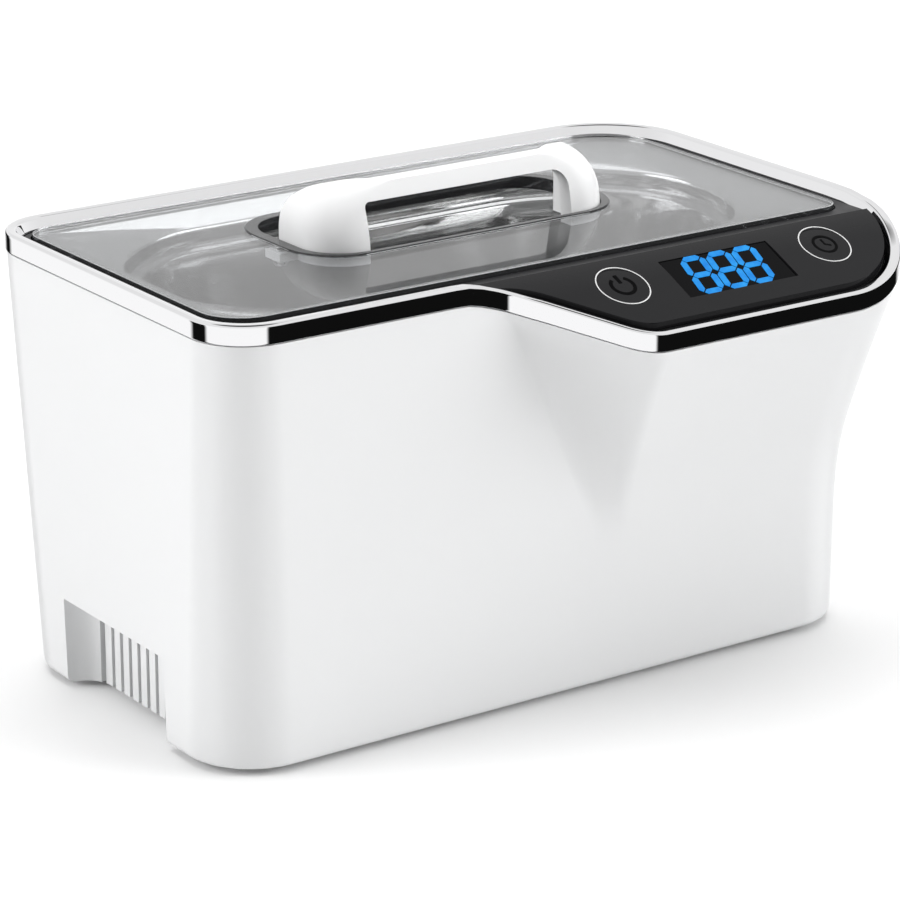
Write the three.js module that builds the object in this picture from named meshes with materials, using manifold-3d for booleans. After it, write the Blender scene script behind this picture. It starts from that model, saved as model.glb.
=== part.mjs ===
// Tabletop ultrasonic cleaner: a drafted white shell with a sloping control pod at its front right,
// a chrome rim, a steel tank with an ultrasonic transducer under it, and a smoked lift-off lid.
// Millimetres, +Z up. X runs along the long side, the control pod faces -Y.
// Inside the cleaner group the main rectangle is centred on X = Y = 0 and Z = 0 is the shell's lower edge.
import * as THREE from 'three';
import * as BufferGeometryUtils from 'three/addons/utils/BufferGeometryUtils.js';
import Module from 'manifold-3d';

const wasm = await Module();
wasm.setup();

// ---------------------------------------------------------------- driving dimensions
const LENGTH = 210;               // across the rim
const DEPTH = 120;                // main rectangle, front to back, without the pod
const POD_DEPTH = 22;             // how far the control pod stands out at the rim
const RIM_HEIGHT = 119;           // lower edge of the shell to the crest of the rim
const FOOT_HEIGHT = 1.5;          // rubber feet below the shell
const GAP = 0.3;                  // clearance where two pieces meet
const WALL = 2.4;                 // shell wall

const HALF_LENGTH = LENGTH / 2;
const HALF_DEPTH = DEPTH / 2;
// where the front leaves the main rectangle and where it reaches the pod's front line
const POD_CURVE = { rimStart: -26, rimEnd: 12, lowStart: 13, lowEnd: 21, softness: 0.3 };
const POD_START_X = POD_CURVE.rimStart;

// base of the shell, drawn in from the rim by the mould draft
const SIDE_DRAFT = 2.6;
const FRONT_DRAFT = 6.5;
const BACK_DRAFT = 5.5;
const BASE_RADIUS = 19.6;
const RIM_RADII = { frontLeft: 16, frontRight: 32, backRight: 26, backLeft: 16 };

// the pod's underside grows out of the front wall between these heights
const POD_BLEND_START = 34;
const POD_BLEND_END = 64;
const POD_GROWTH = 0.34;          // reach gained per millimetre of height above the blend

// slope of the rim and panel across the pod
const SLOPE = Math.tan(THREE.MathUtils.degToRad(24.5));
const SLOPE_START_Y = -37.5;
const SLOPE_BLEND = 26;

// chrome rim
const TRIM_HEIGHT = 5.2;
const TRIM_WIDTH = 4;
const SHELL_INSET = 0.4;          // the shell sits just inside the rim's outer face

// levels of the lid, tank and frame
const LID_TOP = RIM_HEIGHT - 2;
const LID_THICKNESS = 3.2;
const LID_BOTTOM = LID_TOP - LID_THICKNESS;
const SHEET = 0.9;                // steel sheet of the tank
const FLANGE_TOP = LID_BOTTOM - GAP;
const SEAT_TOP = FLANGE_TOP - SHEET - 1 - 2 * GAP;
const LEDGE_TOP = RIM_HEIGHT - 3.3;

// corner radii are listed front left, front right, back right, back left
const LID = { left: -96.8, right: 96.8, front: -47.5, back: 54.2, radii: [12, 6, 16, 8] };
const LID_CENTRE_Y = (LID.front + LID.back) / 2;
const HOLE = { halfLength: 46.7, front: -14.8, back: 26.8, radius: 12.4 };
// low frame moulded round the lid's hole
const LIP = { side: 3.2, front: 1.6, back: 3.5, height: 0.4 };

// basin with full-round ends; its flange slopes down to the mouth, and a small step runs round inside
const TANK = { halfLength: 88.5, halfDepth: 41.8, radius: 41, depth: 50, draft: 7, floorRadius: 12 };
const TANK_FLOOR = FLANGE_TOP - TANK.depth;
const MOUTH_TOP = FLANGE_TOP - 3.2;
const BASIN_STEP = { depth: 5, width: 2.6 };
const FLANGE_SEAT = 4;            // flat width of the flange from the lid's outline inwards

const POCKET = { centreY: 1.5, halfWidth: 25.5, top: 24, innerX: 94, radius: 8 };
const SLOT = { count: 10, pitch: 4.5, width: 1.6, top: 19 };

// ---------------------------------------------------------------- solids
function toSolid(geometry) {
  const bare = geometry.clone();
  bare.deleteAttribute('normal');
  bare.deleteAttribute('uv');
  const merged = BufferGeometryUtils.mergeVertices(bare, 1e-4);
  const mesh = new wasm.Mesh({
    numProp: 3,
    vertProperties: new Float32Array(merged.attributes.position.array),
    triVerts: new Uint32Array(merged.index.array),
  });
  mesh.merge();
  return new wasm.Manifold(mesh);
}

function toGeometry(solid) {
  const mesh = solid.getMesh();
  const geometry = new THREE.BufferGeometry();
  geometry.setAttribute('position', new THREE.BufferAttribute(mesh.vertProperties, 3));
  geometry.setIndex(new THREE.BufferAttribute(mesh.triVerts, 1));
  geometry.computeVertexNormals();
  return geometry;
}

const joined = (...solids) => solids.reduce((sum, solid) => sum.add(solid));
const less = (solid, ...tools) => tools.reduce((rest, tool) => rest.subtract(tool), solid);

function box(x0, x1, y0, y1, z0, z1) {
  const geometry = new THREE.BoxGeometry(x1 - x0, y1 - y0, z1 - z0);
  geometry.translate((x0 + x1) / 2, (y0 + y1) / 2, (z0 + z1) / 2);
  return toSolid(geometry);
}

function cylinder(x, y, z0, z1, radius, segments = 24, topRadius = radius) {
  const geometry = new THREE.CylinderGeometry(topRadius, radius, z1 - z0, segments);
  geometry.rotateX(Math.PI / 2);
  geometry.translate(x, y, (z0 + z1) / 2);
  return toSolid(geometry);
}

// cylinder along Y
function rod(x, z, y0, y1, radius, segments = 12) {
  const geometry = new THREE.CylinderGeometry(radius, radius, y1 - y0, segments);
  geometry.translate(x, (y0 + y1) / 2, z);
  return toSolid(geometry);
}

// upright prism over a plan outline
function prism(outline, z0, z1) {
  const shape = new THREE.Shape(outline);
  const geometry = new THREE.ExtrudeGeometry(shape, { depth: z1 - z0, bevelEnabled: false });
  geometry.translate(0, 0, z0);
  return toSolid(geometry);
}

// prism along X over a closed profile of [y, z] points
function bar(profile, x0, x1) {
  const shape = new THREE.Shape(profile.map(([y, z]) => new THREE.Vector2(y, z)));
  const geometry = new THREE.ExtrudeGeometry(shape, { depth: x1 - x0, bevelEnabled: false });
  // the shape's own axes become Y and Z, and its depth becomes X
  geometry.applyMatrix4(new THREE.Matrix4().set(0, 0, 1, x0, 1, 0, 0, 0, 0, 1, 0, 0, 0, 0, 0, 1));
  return toSolid(geometry);
}

// skin over rings of equal length: capped at both ends, or closed on itself
function skin(rings, closed = false) {
  const count = rings[0].length;
  const positions = rings.flat().flatMap((point) => [point.x, point.y, point.z]);
  const index = [];
  const spans = closed ? rings.length : rings.length - 1;
  for (let ring = 0; ring < spans; ring += 1) {
    const above = (ring + 1) % rings.length;
    for (let i = 0; i < count; i += 1) {
      const next = (i + 1) % count;
      const a = ring * count + i;
      const b = ring * count + next;
      const c = above * count + next;
      const d = above * count + i;
      index.push(a, b, c, a, c, d);
    }
  }
  if (!closed) {
    const last = (rings.length - 1) * count;
    const flat = (ring) => ring.map((point) => new THREE.Vector2(point.x, point.y));
    for (const [a, b, c] of THREE.ShapeUtils.triangulateShape(flat(rings[0]), [])) index.push(a, c, b);
    for (const [a, b, c] of THREE.ShapeUtils.triangulateShape(flat(rings[rings.length - 1]), [])) {
      index.push(last + a, last + b, last + c);
    }
  }
  const geometry = new THREE.BufferGeometry();
  geometry.setAttribute('position', new THREE.Float32BufferAttribute(positions, 3));
  geometry.setIndex(index);
  return toSolid(geometry);
}

// round wire or lead along a smooth curve through points
function tube(points, radius, steps, sides = 8) {
  const path = new THREE.CatmullRomCurve3(points.map(([x, y, z]) => new THREE.Vector3(x, y, z)));
  const section = new THREE.Shape();
  for (let i = 0; i < sides; i += 1) {
    const angle = (2 * Math.PI * i) / sides;
    const corner = [radius * Math.cos(angle), radius * Math.sin(angle)];
    if (i === 0) section.moveTo(...corner);
    else section.lineTo(...corner);
  }
  return toSolid(new THREE.ExtrudeGeometry(section, { steps, extrudePath: path, bevelEnabled: false }));
}

// turned piece about the vertical line through (x, y): profile of [radius, z] points, upwards outside
function turned(profile, x, y, segments = 32) {
  const points = profile.map(([radius, z]) => new THREE.Vector2(radius, z));
  const geometry = new THREE.LatheGeometry(points, segments);
  geometry.rotateX(Math.PI / 2);
  geometry.translate(x, y, 0);
  return toSolid(geometry);
}

// ---------------------------------------------------------------- outlines
function arc(points, cx, cy, radius, from, to, steps) {
  for (let i = 0; i <= steps; i += 1) {
    const angle = THREE.MathUtils.degToRad(from + ((to - from) * i) / steps);
    points.push(new THREE.Vector2(cx + radius * Math.cos(angle), cy + radius * Math.sin(angle)));
  }
}

function roundedRectangle({ left, right, front, back, radii }, steps = 6) {
  const [frontLeft, frontRight, backRight, backLeft] = radii;
  const points = [];
  arc(points, left + frontLeft, front + frontLeft, frontLeft, 180, 270, steps);
  arc(points, right - frontRight, front + frontRight, frontRight, 270, 360, steps);
  arc(points, right - backRight, back - backRight, backRight, 0, 90, steps);
  arc(points, left + backLeft, back - backLeft, backLeft, 90, 180, steps);
  return points;
}

const evenly = (radius) => [radius, radius, radius, radius];

const grown = ({ left, right, front, back, radii }, by) => ({
  left: left - by,
  right: right + by,
  front: front - by,
  back: back + by,
  radii: radii.map((radius) => Math.max(0.2, radius + by)),
});

// S-curve from 0 to 1: an arc, a straight run and an arc
function sway(t) {
  const soft = POD_CURVE.softness;
  const speed = 1 / (1 - soft);
  if (t < soft) return (speed * t * t) / (2 * soft);
  if (t > 1 - soft) return 1 - (speed * (1 - t) ** 2) / (2 * soft);
  return speed * (t - soft / 2);
}

// outline of the cleaner with the pod standing out by reach; share is 0 at the base and 1 at the rim
function cleanerOutline(share, reach) {
  const draft = 1 - share;
  const left = -HALF_LENGTH + SIDE_DRAFT * draft;
  const right = HALF_LENGTH - SIDE_DRAFT * draft;
  const front = -HALF_DEPTH + FRONT_DRAFT * draft;
  const back = HALF_DEPTH - BACK_DRAFT * draft;
  const radius = (name) => THREE.MathUtils.lerp(BASE_RADIUS, RIM_RADII[name], share);
  const rise = Math.max(0, (share * RIM_HEIGHT - POD_BLEND_START) / (RIM_HEIGHT - POD_BLEND_START));
  const podStart = THREE.MathUtils.lerp(POD_CURVE.lowStart, POD_CURVE.rimStart, rise);
  const podEnd = THREE.MathUtils.lerp(POD_CURVE.lowEnd, POD_CURVE.rimEnd, rise);
  const points = [];
  arc(points, left + radius('frontLeft'), front + radius('frontLeft'), radius('frontLeft'), 180, 270, 6);
  // level run before the pod, so that the rim can dip into the slope there
  for (let i = 0; i < 3; i += 1) points.push(new THREE.Vector2(podStart - 12 + 4 * i, front));
  const curveSteps = 12;
  for (let i = 0; i <= curveSteps; i += 1) {
    const t = i / curveSteps;
    points.push(new THREE.Vector2(THREE.MathUtils.lerp(podStart, podEnd, t), front - reach * sway(t)));
  }
  const podFront = front - reach;
  const podRadius = radius('frontRight');
  arc(points, right - podRadius, podFront + podRadius, podRadius, 270, 360, 9);
  for (let i = 1; i <= 3; i += 1) points.push(new THREE.Vector2(right, podFront + podRadius + 4.5 * i));
  arc(points, right - radius('backRight'), back - radius('backRight'), radius('backRight'), 0, 90, 8);
  arc(points, left + radius('backLeft'), back - radius('backLeft'), radius('backLeft'), 90, 180, 6);
  return points;
}

// outline moved inwards by distance, square to its edges
function inset(outline, distance) {
  const count = outline.length;
  return outline.map((point, i) => {
    const before = outline[(i + count - 1) % count];
    const after = outline[(i + 1) % count];
    const first = point.clone().sub(before).normalize();
    const second = after.clone().sub(point).normalize();
    const normal = new THREE.Vector2(-first.y - second.y, first.x + second.x).normalize();
    const spread = normal.dot(new THREE.Vector2(-first.y, first.x));
    return point.clone().addScaledVector(normal, distance / spread);
  });
}

const rimOutline = cleanerOutline(1, POD_DEPTH);
const atHeight = (outline, z) => outline.map((point) => new THREE.Vector3(point.x, point.y, z));

// how far the sloping pod surface lies below the level rim
function drop(y) {
  const run = Math.max(0, SLOPE_START_Y - y);
  return run < SLOPE_BLEND ? (SLOPE * run * run) / (2 * SLOPE_BLEND) : SLOPE * (run - SLOPE_BLEND / 2);
}

// the rim stays level on the left and runs into the slope where the pod begins
const rimDrop = (x, y) => drop(y) * THREE.MathUtils.smoothstep(x, POD_START_X - 10, POD_START_X + 10);

// how far the pod stands out of the front wall at a height
function podReach(z) {
  const zero = (POD_BLEND_START + POD_BLEND_END) / 2;
  const blend = POD_BLEND_END - POD_BLEND_START;
  if (z <= POD_BLEND_START) return 0;
  if (z < POD_BLEND_END) return (POD_GROWTH * (z - POD_BLEND_START) ** 2) / (2 * blend);
  return Math.min(POD_DEPTH, POD_GROWTH * (z - zero));
}

// ---------------------------------------------------------------- shell
const SHELL_TOP = RIM_HEIGHT - TRIM_HEIGHT - GAP;

// each level of the shell sinks with the rim's slope, all of it at the top and none below the pod
const sag = (height) => Math.max(0, (height - POD_BLEND_START) / (SHELL_TOP - POD_BLEND_START)) ** 2;

function shellRings(thickness) {
  const blend = [0, 1, 2, 3, 4].map((i) => THREE.MathUtils.lerp(POD_BLEND_START, POD_BLEND_END, i / 4));
  const levels = [0, ...blend, 80, 97, SHELL_TOP];
  return levels.map((height) => {
    const outline = height < SHELL_TOP
      ? inset(cleanerOutline(height / RIM_HEIGHT, podReach(height)), thickness)
      : inset(rimOutline, SHELL_INSET + thickness);
    return outline.map((point, i) => new THREE.Vector3(
      point.x, point.y, height - sag(height) * rimDrop(rimOutline[i].x, rimOutline[i].y)));
  });
}

// two-pin mains inlet in the back wall: its flange seats on a boss, and its socket is a figure of eight
const INLET = {
  x: 58, z: 30, seat: 56.5, face: 58.8, depth: 17, pinOffset: 4.3, pinRadius: 1.2, pinLength: 16,
};
const INLET_FLANGE = { halfLength: 14, halfHeight: 9, corner: 3 };
const INLET_BODY = { halfLength: 10.2, halfHeight: 5.7 };
const INLET_SOCKET = { lobeOffset: 4.1, lobeRadius: 4.2, waist: 3.6, floor: 3 };

const inletBlock = (halfLength, halfHeight, y0, y1) =>
  box(INLET.x - halfLength, INLET.x + halfLength, y0, y1, INLET.z - halfHeight, INLET.z + halfHeight);

// carrying pocket low in each side wall; side is -1 on the left and 1 on the right
function pocketShape(side, extra, z1) {
  const deep = POCKET.innerX - extra;
  const low = POCKET.centreY - POCKET.halfWidth - extra;
  const high = POCKET.centreY + POCKET.halfWidth + extra;
  const outside = HALF_LENGTH + 20;
  const radii = evenly(POCKET.radius + extra);
  const outline = { left: deep, right: outside, front: low, back: high, radii };
  const solid = prism(roundedRectangle(outline, 5), -5, z1);
  return side > 0 ? solid : solid.mirror([1, 0, 0]);
}

const SCREW_POSTS = [[-92.5, -43.3], [92.5, -43.3], [-92.5, 44.5], [92.5, 44.5]];

function housing() {
  // outer skin upwards, then the inner skin back down
  const wall = skin([...shellRings(0), ...shellRings(WALL).reverse()], true);
  const envelope = skin(shellRings(0));
  const added = [];
  const cuts = [];
  for (const side of [-1, 1]) {
    added.push(pocketShape(side, WALL, POCKET.top + WALL).intersect(envelope));
    cuts.push(pocketShape(side, 0, POCKET.top));
    for (let i = 0; i < SLOT.count; i += 1) {
      const y = POCKET.centreY + SLOT.pitch * (i - (SLOT.count - 1) / 2);
      const slotX = side * (POCKET.innerX - WALL / 2);
      cuts.push(box(slotX - WALL, slotX + WALL, y - SLOT.width / 2, y + SLOT.width / 2, -1, SLOT.top));
    }
  }
  for (const [x, y] of SCREW_POSTS) {
    added.push(cylinder(x, y, 4, 24, 4.5, 16).intersect(envelope));
    cuts.push(cylinder(x, y, 3, 18, 1.5 + GAP, 12));
  }
  // flat boss on the drafted back wall for the inlet's flange
  added.push(
    inletBlock(INLET_FLANGE.halfLength + 1, INLET_FLANGE.halfHeight + 1, INLET.seat - 3, INLET.seat));
  cuts.push(inletBlock(INLET_BODY.halfLength + GAP, INLET_BODY.halfHeight + GAP, 40, HALF_DEPTH + 5));
  return less(joined(wall, ...added), ...cuts);
}

// ---------------------------------------------------------------- base
const FEET = [[-70, -38], [70, -38], [-70, 40], [70, 40]];
const PLATE = { bottom: 0.5, top: 3 };
const BOARD = { left: 28, right: 86, front: -36, back: 40, bottom: 9, thickness: 1.6 };
const BOARD_POSTS = [[32, -32], [82, -32], [32, 36], [82, 36]];

function baseCover() {
  const outline = inset(cleanerOutline(0, 0), WALL + GAP + 0.1);
  let plate = prism(outline, PLATE.bottom, PLATE.top);
  for (const side of [-1, 1]) plate = plate.subtract(pocketShape(side, WALL + GAP, POCKET.top));
  for (const [x, y] of BOARD_POSTS) plate = plate.add(cylinder(x, y, 2, BOARD.bottom - GAP, 3.2, 16));
  for (const [x, y] of BOARD_POSTS) plate = plate.subtract(cylinder(x, y, 4, 12, 1.1 + GAP, 12));
  for (const [x, y] of SCREW_POSTS) plate = plate.subtract(cylinder(x, y, -1, 6, 1.5 + GAP, 12));
  for (const [x, y] of FEET) plate = plate.subtract(cylinder(x, y, -1, 6, 2 + GAP, 12));
  // cooling slots under the transducer
  for (let i = -3; i <= 3; i += 1) {
    plate = plate.subtract(box(-58, -30, 3.5 + 7 * i - 1.25, 3.5 + 7 * i + 1.25, -1, 6));
  }
  return plate;
}

const foot = (x, y) => turned(
  [[0, -FOOT_HEIGHT], [5.8, -FOOT_HEIGHT], [6.5, -0.8], [6.5, 0.2], [2, 0.2], [2, 2.7], [0, 2.7]], x, y, 20);

const baseScrew = (x, y) => turned(
  [[0, -1.1], [2.4, -1.1], [2.9, -0.5], [2.9, 0.2], [1.5, 0.2], [1.5, 16], [0, 17.3]], x, y, 12);

// ---------------------------------------------------------------- rim and frame
function chromeTrim() {
  // section from the outer lower edge over the crest to the inner lower edge: [inset, height below crest]
  const section = [[0, -TRIM_HEIGHT], [0, -1], [0.3, -0.3], [1, 0], [TRIM_WIDTH - 1.4, -0.1],
    [TRIM_WIDTH - 1.1, -0.4], [TRIM_WIDTH, -2.9], [TRIM_WIDTH, -TRIM_HEIGHT]];
  const rings = section.map(([depth, height]) => {
    const path = inset(rimOutline, depth);
    return rimOutline.map((point, i) => new THREE.Vector3(
      path[i].x, path[i].y, RIM_HEIGHT + height - rimDrop(point.x, point.y)));
  });
  return skin(rings, true);
}

// profile of a layer that follows the pod's slope, from y = back to the front, between two offsets
function slopedLayer(back, front, top, bottom) {
  const steps = 8;
  const ys = Array.from({ length: steps + 1 }, (_, i) => THREE.MathUtils.lerp(back, front, i / steps));
  const upper = ys.map((y) => [y, RIM_HEIGHT - top - drop(y)]);
  const lower = ys.map((y) => [y, RIM_HEIGHT - bottom - drop(y)]);
  return [...lower, ...upper.reverse()];
}

const PANEL = { back: -53, top: 0.6, bottom: 2.4, sideGap: TRIM_WIDTH + GAP };
const FRAME_BOTTOM = SEAT_TOP - 2;

function topFrame() {
  const region = inset(rimOutline, TRIM_WIDTH + GAP);
  const main = box(-HALF_LENGTH, HALF_LENGTH, PANEL.back + 1, HALF_DEPTH, FRAME_BOTTOM, LEDGE_TOP);
  const front = box(-HALF_LENGTH, POD_START_X + 4, -HALF_DEPTH, PANEL.back + 2, FRAME_BOTTOM, LEDGE_TOP);
  const deckTop = PANEL.bottom + GAP;
  const pod = bar(slopedLayer(PANEL.back + 2, -HALF_DEPTH - POD_DEPTH, deckTop, deckTop + 2.5),
    POD_START_X - 4, HALF_LENGTH);
  const body = joined(main, front, pod).intersect(prism(region, 80, RIM_HEIGHT));
  // lower flange that locks under the rim
  const flangeBand = box(-HALF_LENGTH, HALF_LENGTH, SLOPE_START_Y, HALF_DEPTH, FRAME_BOTTOM, SEAT_TOP + 1.5);
  const flange = flangeBand.intersect(prism(inset(rimOutline, SHELL_INSET + WALL + 2 * GAP), 80, RIM_HEIGHT));
  const lidPocket = prism(roundedRectangle(grown(LID, 0.6)), SEAT_TOP, RIM_HEIGHT + 5);
  const opening = prism(roundedRectangle(grown(LID, -3.6)), FRAME_BOTTOM - 5, RIM_HEIGHT);
  const podWindow = box(5, 82, -73, -56.5, 80, RIM_HEIGHT);
  // room for the panel over the frame's front edge
  const panelRoom = bar(slopedLayer(PANEL.back + GAP, -HALF_DEPTH - POD_DEPTH, -10, deckTop),
    POD_START_X - 8, HALF_LENGTH);
  return less(joined(body, flange), lidPocket, opening, podWindow,
    panelRoom.intersect(prism(inset(rimOutline, TRIM_WIDTH), 80, RIM_HEIGHT + 5)));
}

// ---------------------------------------------------------------- tank
function basinRings(extra) {
  const rings = [];
  const ring = (shrink, z) => {
    const by = extra - shrink;
    const halfLength = TANK.halfLength + by;
    const halfDepth = TANK.halfDepth + by;
    const outline = { left: -halfLength, right: halfLength, front: LID_CENTRE_Y - halfDepth,
      back: LID_CENTRE_Y + halfDepth, radii: evenly(TANK.radius + by) };
    rings.push(atHeight(roundedRectangle(outline, 8), z));
  };
  const floor = TANK_FLOOR - extra;
  const corner = TANK.floorRadius + extra;
  for (let i = 4; i >= 1; i -= 1) {
    const angle = (Math.PI / 2) * (i / 4);
    ring(TANK.draft + corner * (1 - Math.cos(angle)), floor + corner * (1 - Math.sin(angle)));
  }
  ring(TANK.draft, floor + corner);
  ring(BASIN_STEP.width + 1, MOUTH_TOP - BASIN_STEP.depth - 1.2);
  ring(BASIN_STEP.width, MOUTH_TOP - BASIN_STEP.depth - 0.5);
  ring(0.6, MOUTH_TOP - BASIN_STEP.depth);
  ring(0, MOUTH_TOP - 1 - extra);
  ring(-1, MOUTH_TOP - extra);
  return rings;
}

function tank() {
  const seatRing = (inwards, z) => atHeight(roundedRectangle(grown(LID, -inwards), 8), z);
  const outer = skin([...basinRings(SHEET), seatRing(FLANGE_SEAT, FLANGE_TOP - SHEET / 2)]);
  const inner = skin([...basinRings(0), seatRing(FLANGE_SEAT + SHEET / 2, FLANGE_TOP),
    seatRing(FLANGE_SEAT + SHEET / 2, FLANGE_TOP + 2)]);
  const flange = prism(roundedRectangle(grown(LID, GAP)), FLANGE_TOP - SHEET, FLANGE_TOP);
  return joined(outer, flange).subtract(inner);
}

function tankGasket() {
  const top = FLANGE_TOP - SHEET - GAP;
  const ring = prism(roundedRectangle(grown(LID, 0)), SEAT_TOP + GAP, top);
  return ring.subtract(prism(roundedRectangle(grown(LID, -3.4)), SEAT_TOP, top + 1));
}

// ---------------------------------------------------------------- control panel
// frame of the sloping panel: origin on its surface at the display, +z square to it
const DISPLAY = { x: 43.9, y: -65, length: 35.4, height: 15.2 };
const panelAngle = Math.atan(SLOPE);
const displayZ = RIM_HEIGHT - PANEL.top - drop(DISPLAY.y);
const panelMatrix = new THREE.Matrix4().makeRotationX(panelAngle)
  .setPosition(DISPLAY.x, DISPLAY.y, displayZ);
const onPanel = (solid) => solid.transform(panelMatrix.toArray());
const SENSORS = { power: -33.1, time: 33.5 };  // along the panel from the display

function controlPanel() {
  const layer = bar(slopedLayer(PANEL.back, -HALF_DEPTH - POD_DEPTH, PANEL.top, PANEL.bottom),
    POD_START_X - 6, HALF_LENGTH);
  const region = prism(inset(rimOutline, PANEL.sideGap), 80, RIM_HEIGHT);
  const window = onPanel(box(-DISPLAY.length / 2, DISPLAY.length / 2, -DISPLAY.height / 2,
    DISPLAY.height / 2, -5, 5));
  return layer.intersect(region).subtract(window);
}

const displayWindow = () => onPanel(box(-DISPLAY.length / 2 + GAP, DISPLAY.length / 2 - GAP,
  -DISPLAY.height / 2 + GAP, DISPLAY.height / 2 - GAP, -1.5, -0.4));

const displayModule = () => onPanel(box(-17, 17, -7, 7, -8.5, -2.3));

const CONTROL_BOARD = { top: -9, thickness: 1.6 };
const controlBoard = () => onPanel(box(-44, 46, -9.5, 9.5,
  CONTROL_BOARD.top - CONTROL_BOARD.thickness, CONTROL_BOARD.top));

function touchSpring(alongPanel) {
  const turns = 3;
  const points = [];
  const steps = 8 * turns;
  for (let i = 0; i <= steps; i += 1) {
    const angle = (2 * Math.PI * i) / 8;
    points.push([alongPanel + 3.2 * Math.cos(angle), 3.2 * Math.sin(angle) + 1.2,
      CONTROL_BOARD.top + 0.9 + (5 * i) / steps]);
  }
  return onPanel(tube(points, 0.45, steps * 1.5, 6));
}

// ---------------------------------------------------------------- transducer
const TRANSDUCER = { y: LID_CENTRE_Y, top: TANK_FLOOR - SHEET - GAP, boltRadius: 4.6 };
const FRONT_MASS_BOTTOM = TRANSDUCER.top - 20;
const RING = { outer: 19, inner: 7.5, height: 5 };
const ELECTRODE_SHEET = 0.5;

function frontMass() {
  const bottom = FRONT_MASS_BOTTOM;
  const bore = TRANSDUCER.boltRadius + GAP;
  return turned([[0, TRANSDUCER.top], [0, bottom + 12], [bore, bottom + 12], [bore, bottom],
    [RING.outer, bottom], [RING.outer, bottom + 6], [22.5, bottom + 13], [22.5, TRANSDUCER.top],
    [0, TRANSDUCER.top]], 0, TRANSDUCER.y);
}

const washer = (outer, inner, z0, z1) => turned(
  [[inner, z0], [outer, z0], [outer, z1], [inner, z1], [inner, z0]], 0, TRANSDUCER.y);

const ringTop = (index) => FRONT_MASS_BOTTOM - GAP - index * (RING.height + ELECTRODE_SHEET + 2 * GAP);
const piezoRing = (index) => washer(RING.outer, RING.inner, ringTop(index) - RING.height, ringTop(index));

function electrode(index) {
  const top = ringTop(index) - RING.height - GAP;
  const disc = washer(RING.outer, RING.inner, top - ELECTRODE_SHEET, top);
  // solder tab towards the board
  const tab = box(RING.outer - 2, RING.outer + 5, TRANSDUCER.y - 2.5, TRANSDUCER.y + 2.5,
    top - ELECTRODE_SHEET, top);
  return disc.add(tab);
}

const BACK_MASS_TOP = ringTop(2);
const BACK_MASS_BOTTOM = BACK_MASS_TOP - 12;
const backMass = () => washer(RING.outer, TRANSDUCER.boltRadius + GAP, BACK_MASS_BOTTOM, BACK_MASS_TOP);

function transducerBolt() {
  const headTop = BACK_MASS_BOTTOM - GAP;
  const head = cylinder(0, TRANSDUCER.y, headTop - 5, headTop, 8, 6);
  const shank = cylinder(0, TRANSDUCER.y, headTop - 1, FRONT_MASS_BOTTOM + 11.5, TRANSDUCER.boltRadius, 20);
  return head.add(shank);
}

// ---------------------------------------------------------------- power board
const BOARD_TOP = BOARD.bottom + BOARD.thickness;
const ON_BOARD = BOARD_TOP + GAP;

function mainBoard() {
  let board = box(BOARD.left, BOARD.right, BOARD.front, BOARD.back, BOARD.bottom, BOARD_TOP);
  for (const [x, y] of BOARD_POSTS) board = board.subtract(cylinder(x, y, 5, 15, 1.1 + GAP, 12));
  return board;
}

const boardScrew = (x, y) => turned([[0, 4.5], [1.1, 4.5], [1.1, ON_BOARD], [2.3, ON_BOARD],
  [2.3, ON_BOARD + 1], [1.4, ON_BOARD + 1.7], [0, ON_BOARD + 1.7]], x, y, 12);

const CORE = { x: 44, y: 18, halfLength: 13, halfDepth: 6, height: 22 };

function transformerCore() {
  const { x, y, halfLength, halfDepth, height } = CORE;
  const block = box(x - halfLength, x + halfLength, y - halfDepth, y + halfDepth,
    ON_BOARD, ON_BOARD + height);
  const windows = [-1, 1].map((side) => {
    const near = x + side * 3.5;
    const far = x + side * 10;
    return box(Math.min(near, far), Math.max(near, far), y - 10, y + 10, ON_BOARD + 4, ON_BOARD + height - 4);
  });
  return less(block, ...windows);
}

function transformerWinding() {
  const { x, y, halfDepth, height } = CORE;
  const low = ON_BOARD + 4 + GAP;
  const high = ON_BOARD + height - 4 - GAP;
  const ring = box(x - 10 + GAP, x + 10 - GAP, y - halfDepth - 5, y + halfDepth + 5, low, high);
  const bore = box(x - 3.5 - GAP, x + 3.5 + GAP, y - halfDepth - GAP, y + halfDepth + GAP, low - 1, high + 1);
  return ring.subtract(bore);
}

const filterCapacitor = () => turned([[0, ON_BOARD], [8.6, ON_BOARD], [9, ON_BOARD + 1], [9, ON_BOARD + 25],
  [8.2, ON_BOARD + 26], [0, ON_BOARD + 26]], 74, 20, 24);

const SINK = { left: 38, right: 76, back: -18, front: -30, height: 26 };

function heatSink() {
  const fins = 7;
  const pitch = (SINK.right - SINK.left - 2) / (fins - 1);
  let sink = box(SINK.left, SINK.right, SINK.back - 3, SINK.back, ON_BOARD, ON_BOARD + SINK.height);
  for (let i = 0; i < fins; i += 1) {
    const x = SINK.left + pitch * i;
    sink = sink.add(box(x, x + 2, SINK.front, SINK.back - 2, ON_BOARD, ON_BOARD + SINK.height));
  }
  return sink;
}

function transistor(x) {
  const plastic = box(x - 5, x + 5, SINK.back + GAP, SINK.back + GAP + 4.5, ON_BOARD + 5, ON_BOARD + 20);
  const legs = [-2.5, 0, 2.5].map((dx) =>
    box(x + dx - 0.5, x + dx + 0.5, SINK.back + 2, SINK.back + 3, ON_BOARD, ON_BOARD + 6));
  return joined(plastic, ...legs);
}

function choke() {
  const points = [];
  for (let i = 0; i <= 12; i += 1) {
    const angle = (2 * Math.PI * i) / 12;
    points.push([6.5 + 2.8 * Math.cos(angle), ON_BOARD + 5.2 + 5 * Math.sin(angle)]);
  }
  return turned(points, 46, -3, 20);
}

function mainsFuse() {
  return rod(76, ON_BOARD + 4.5, -14, 6, 2.6, 16);
}

// ---------------------------------------------------------------- mains inlet and leads

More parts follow.
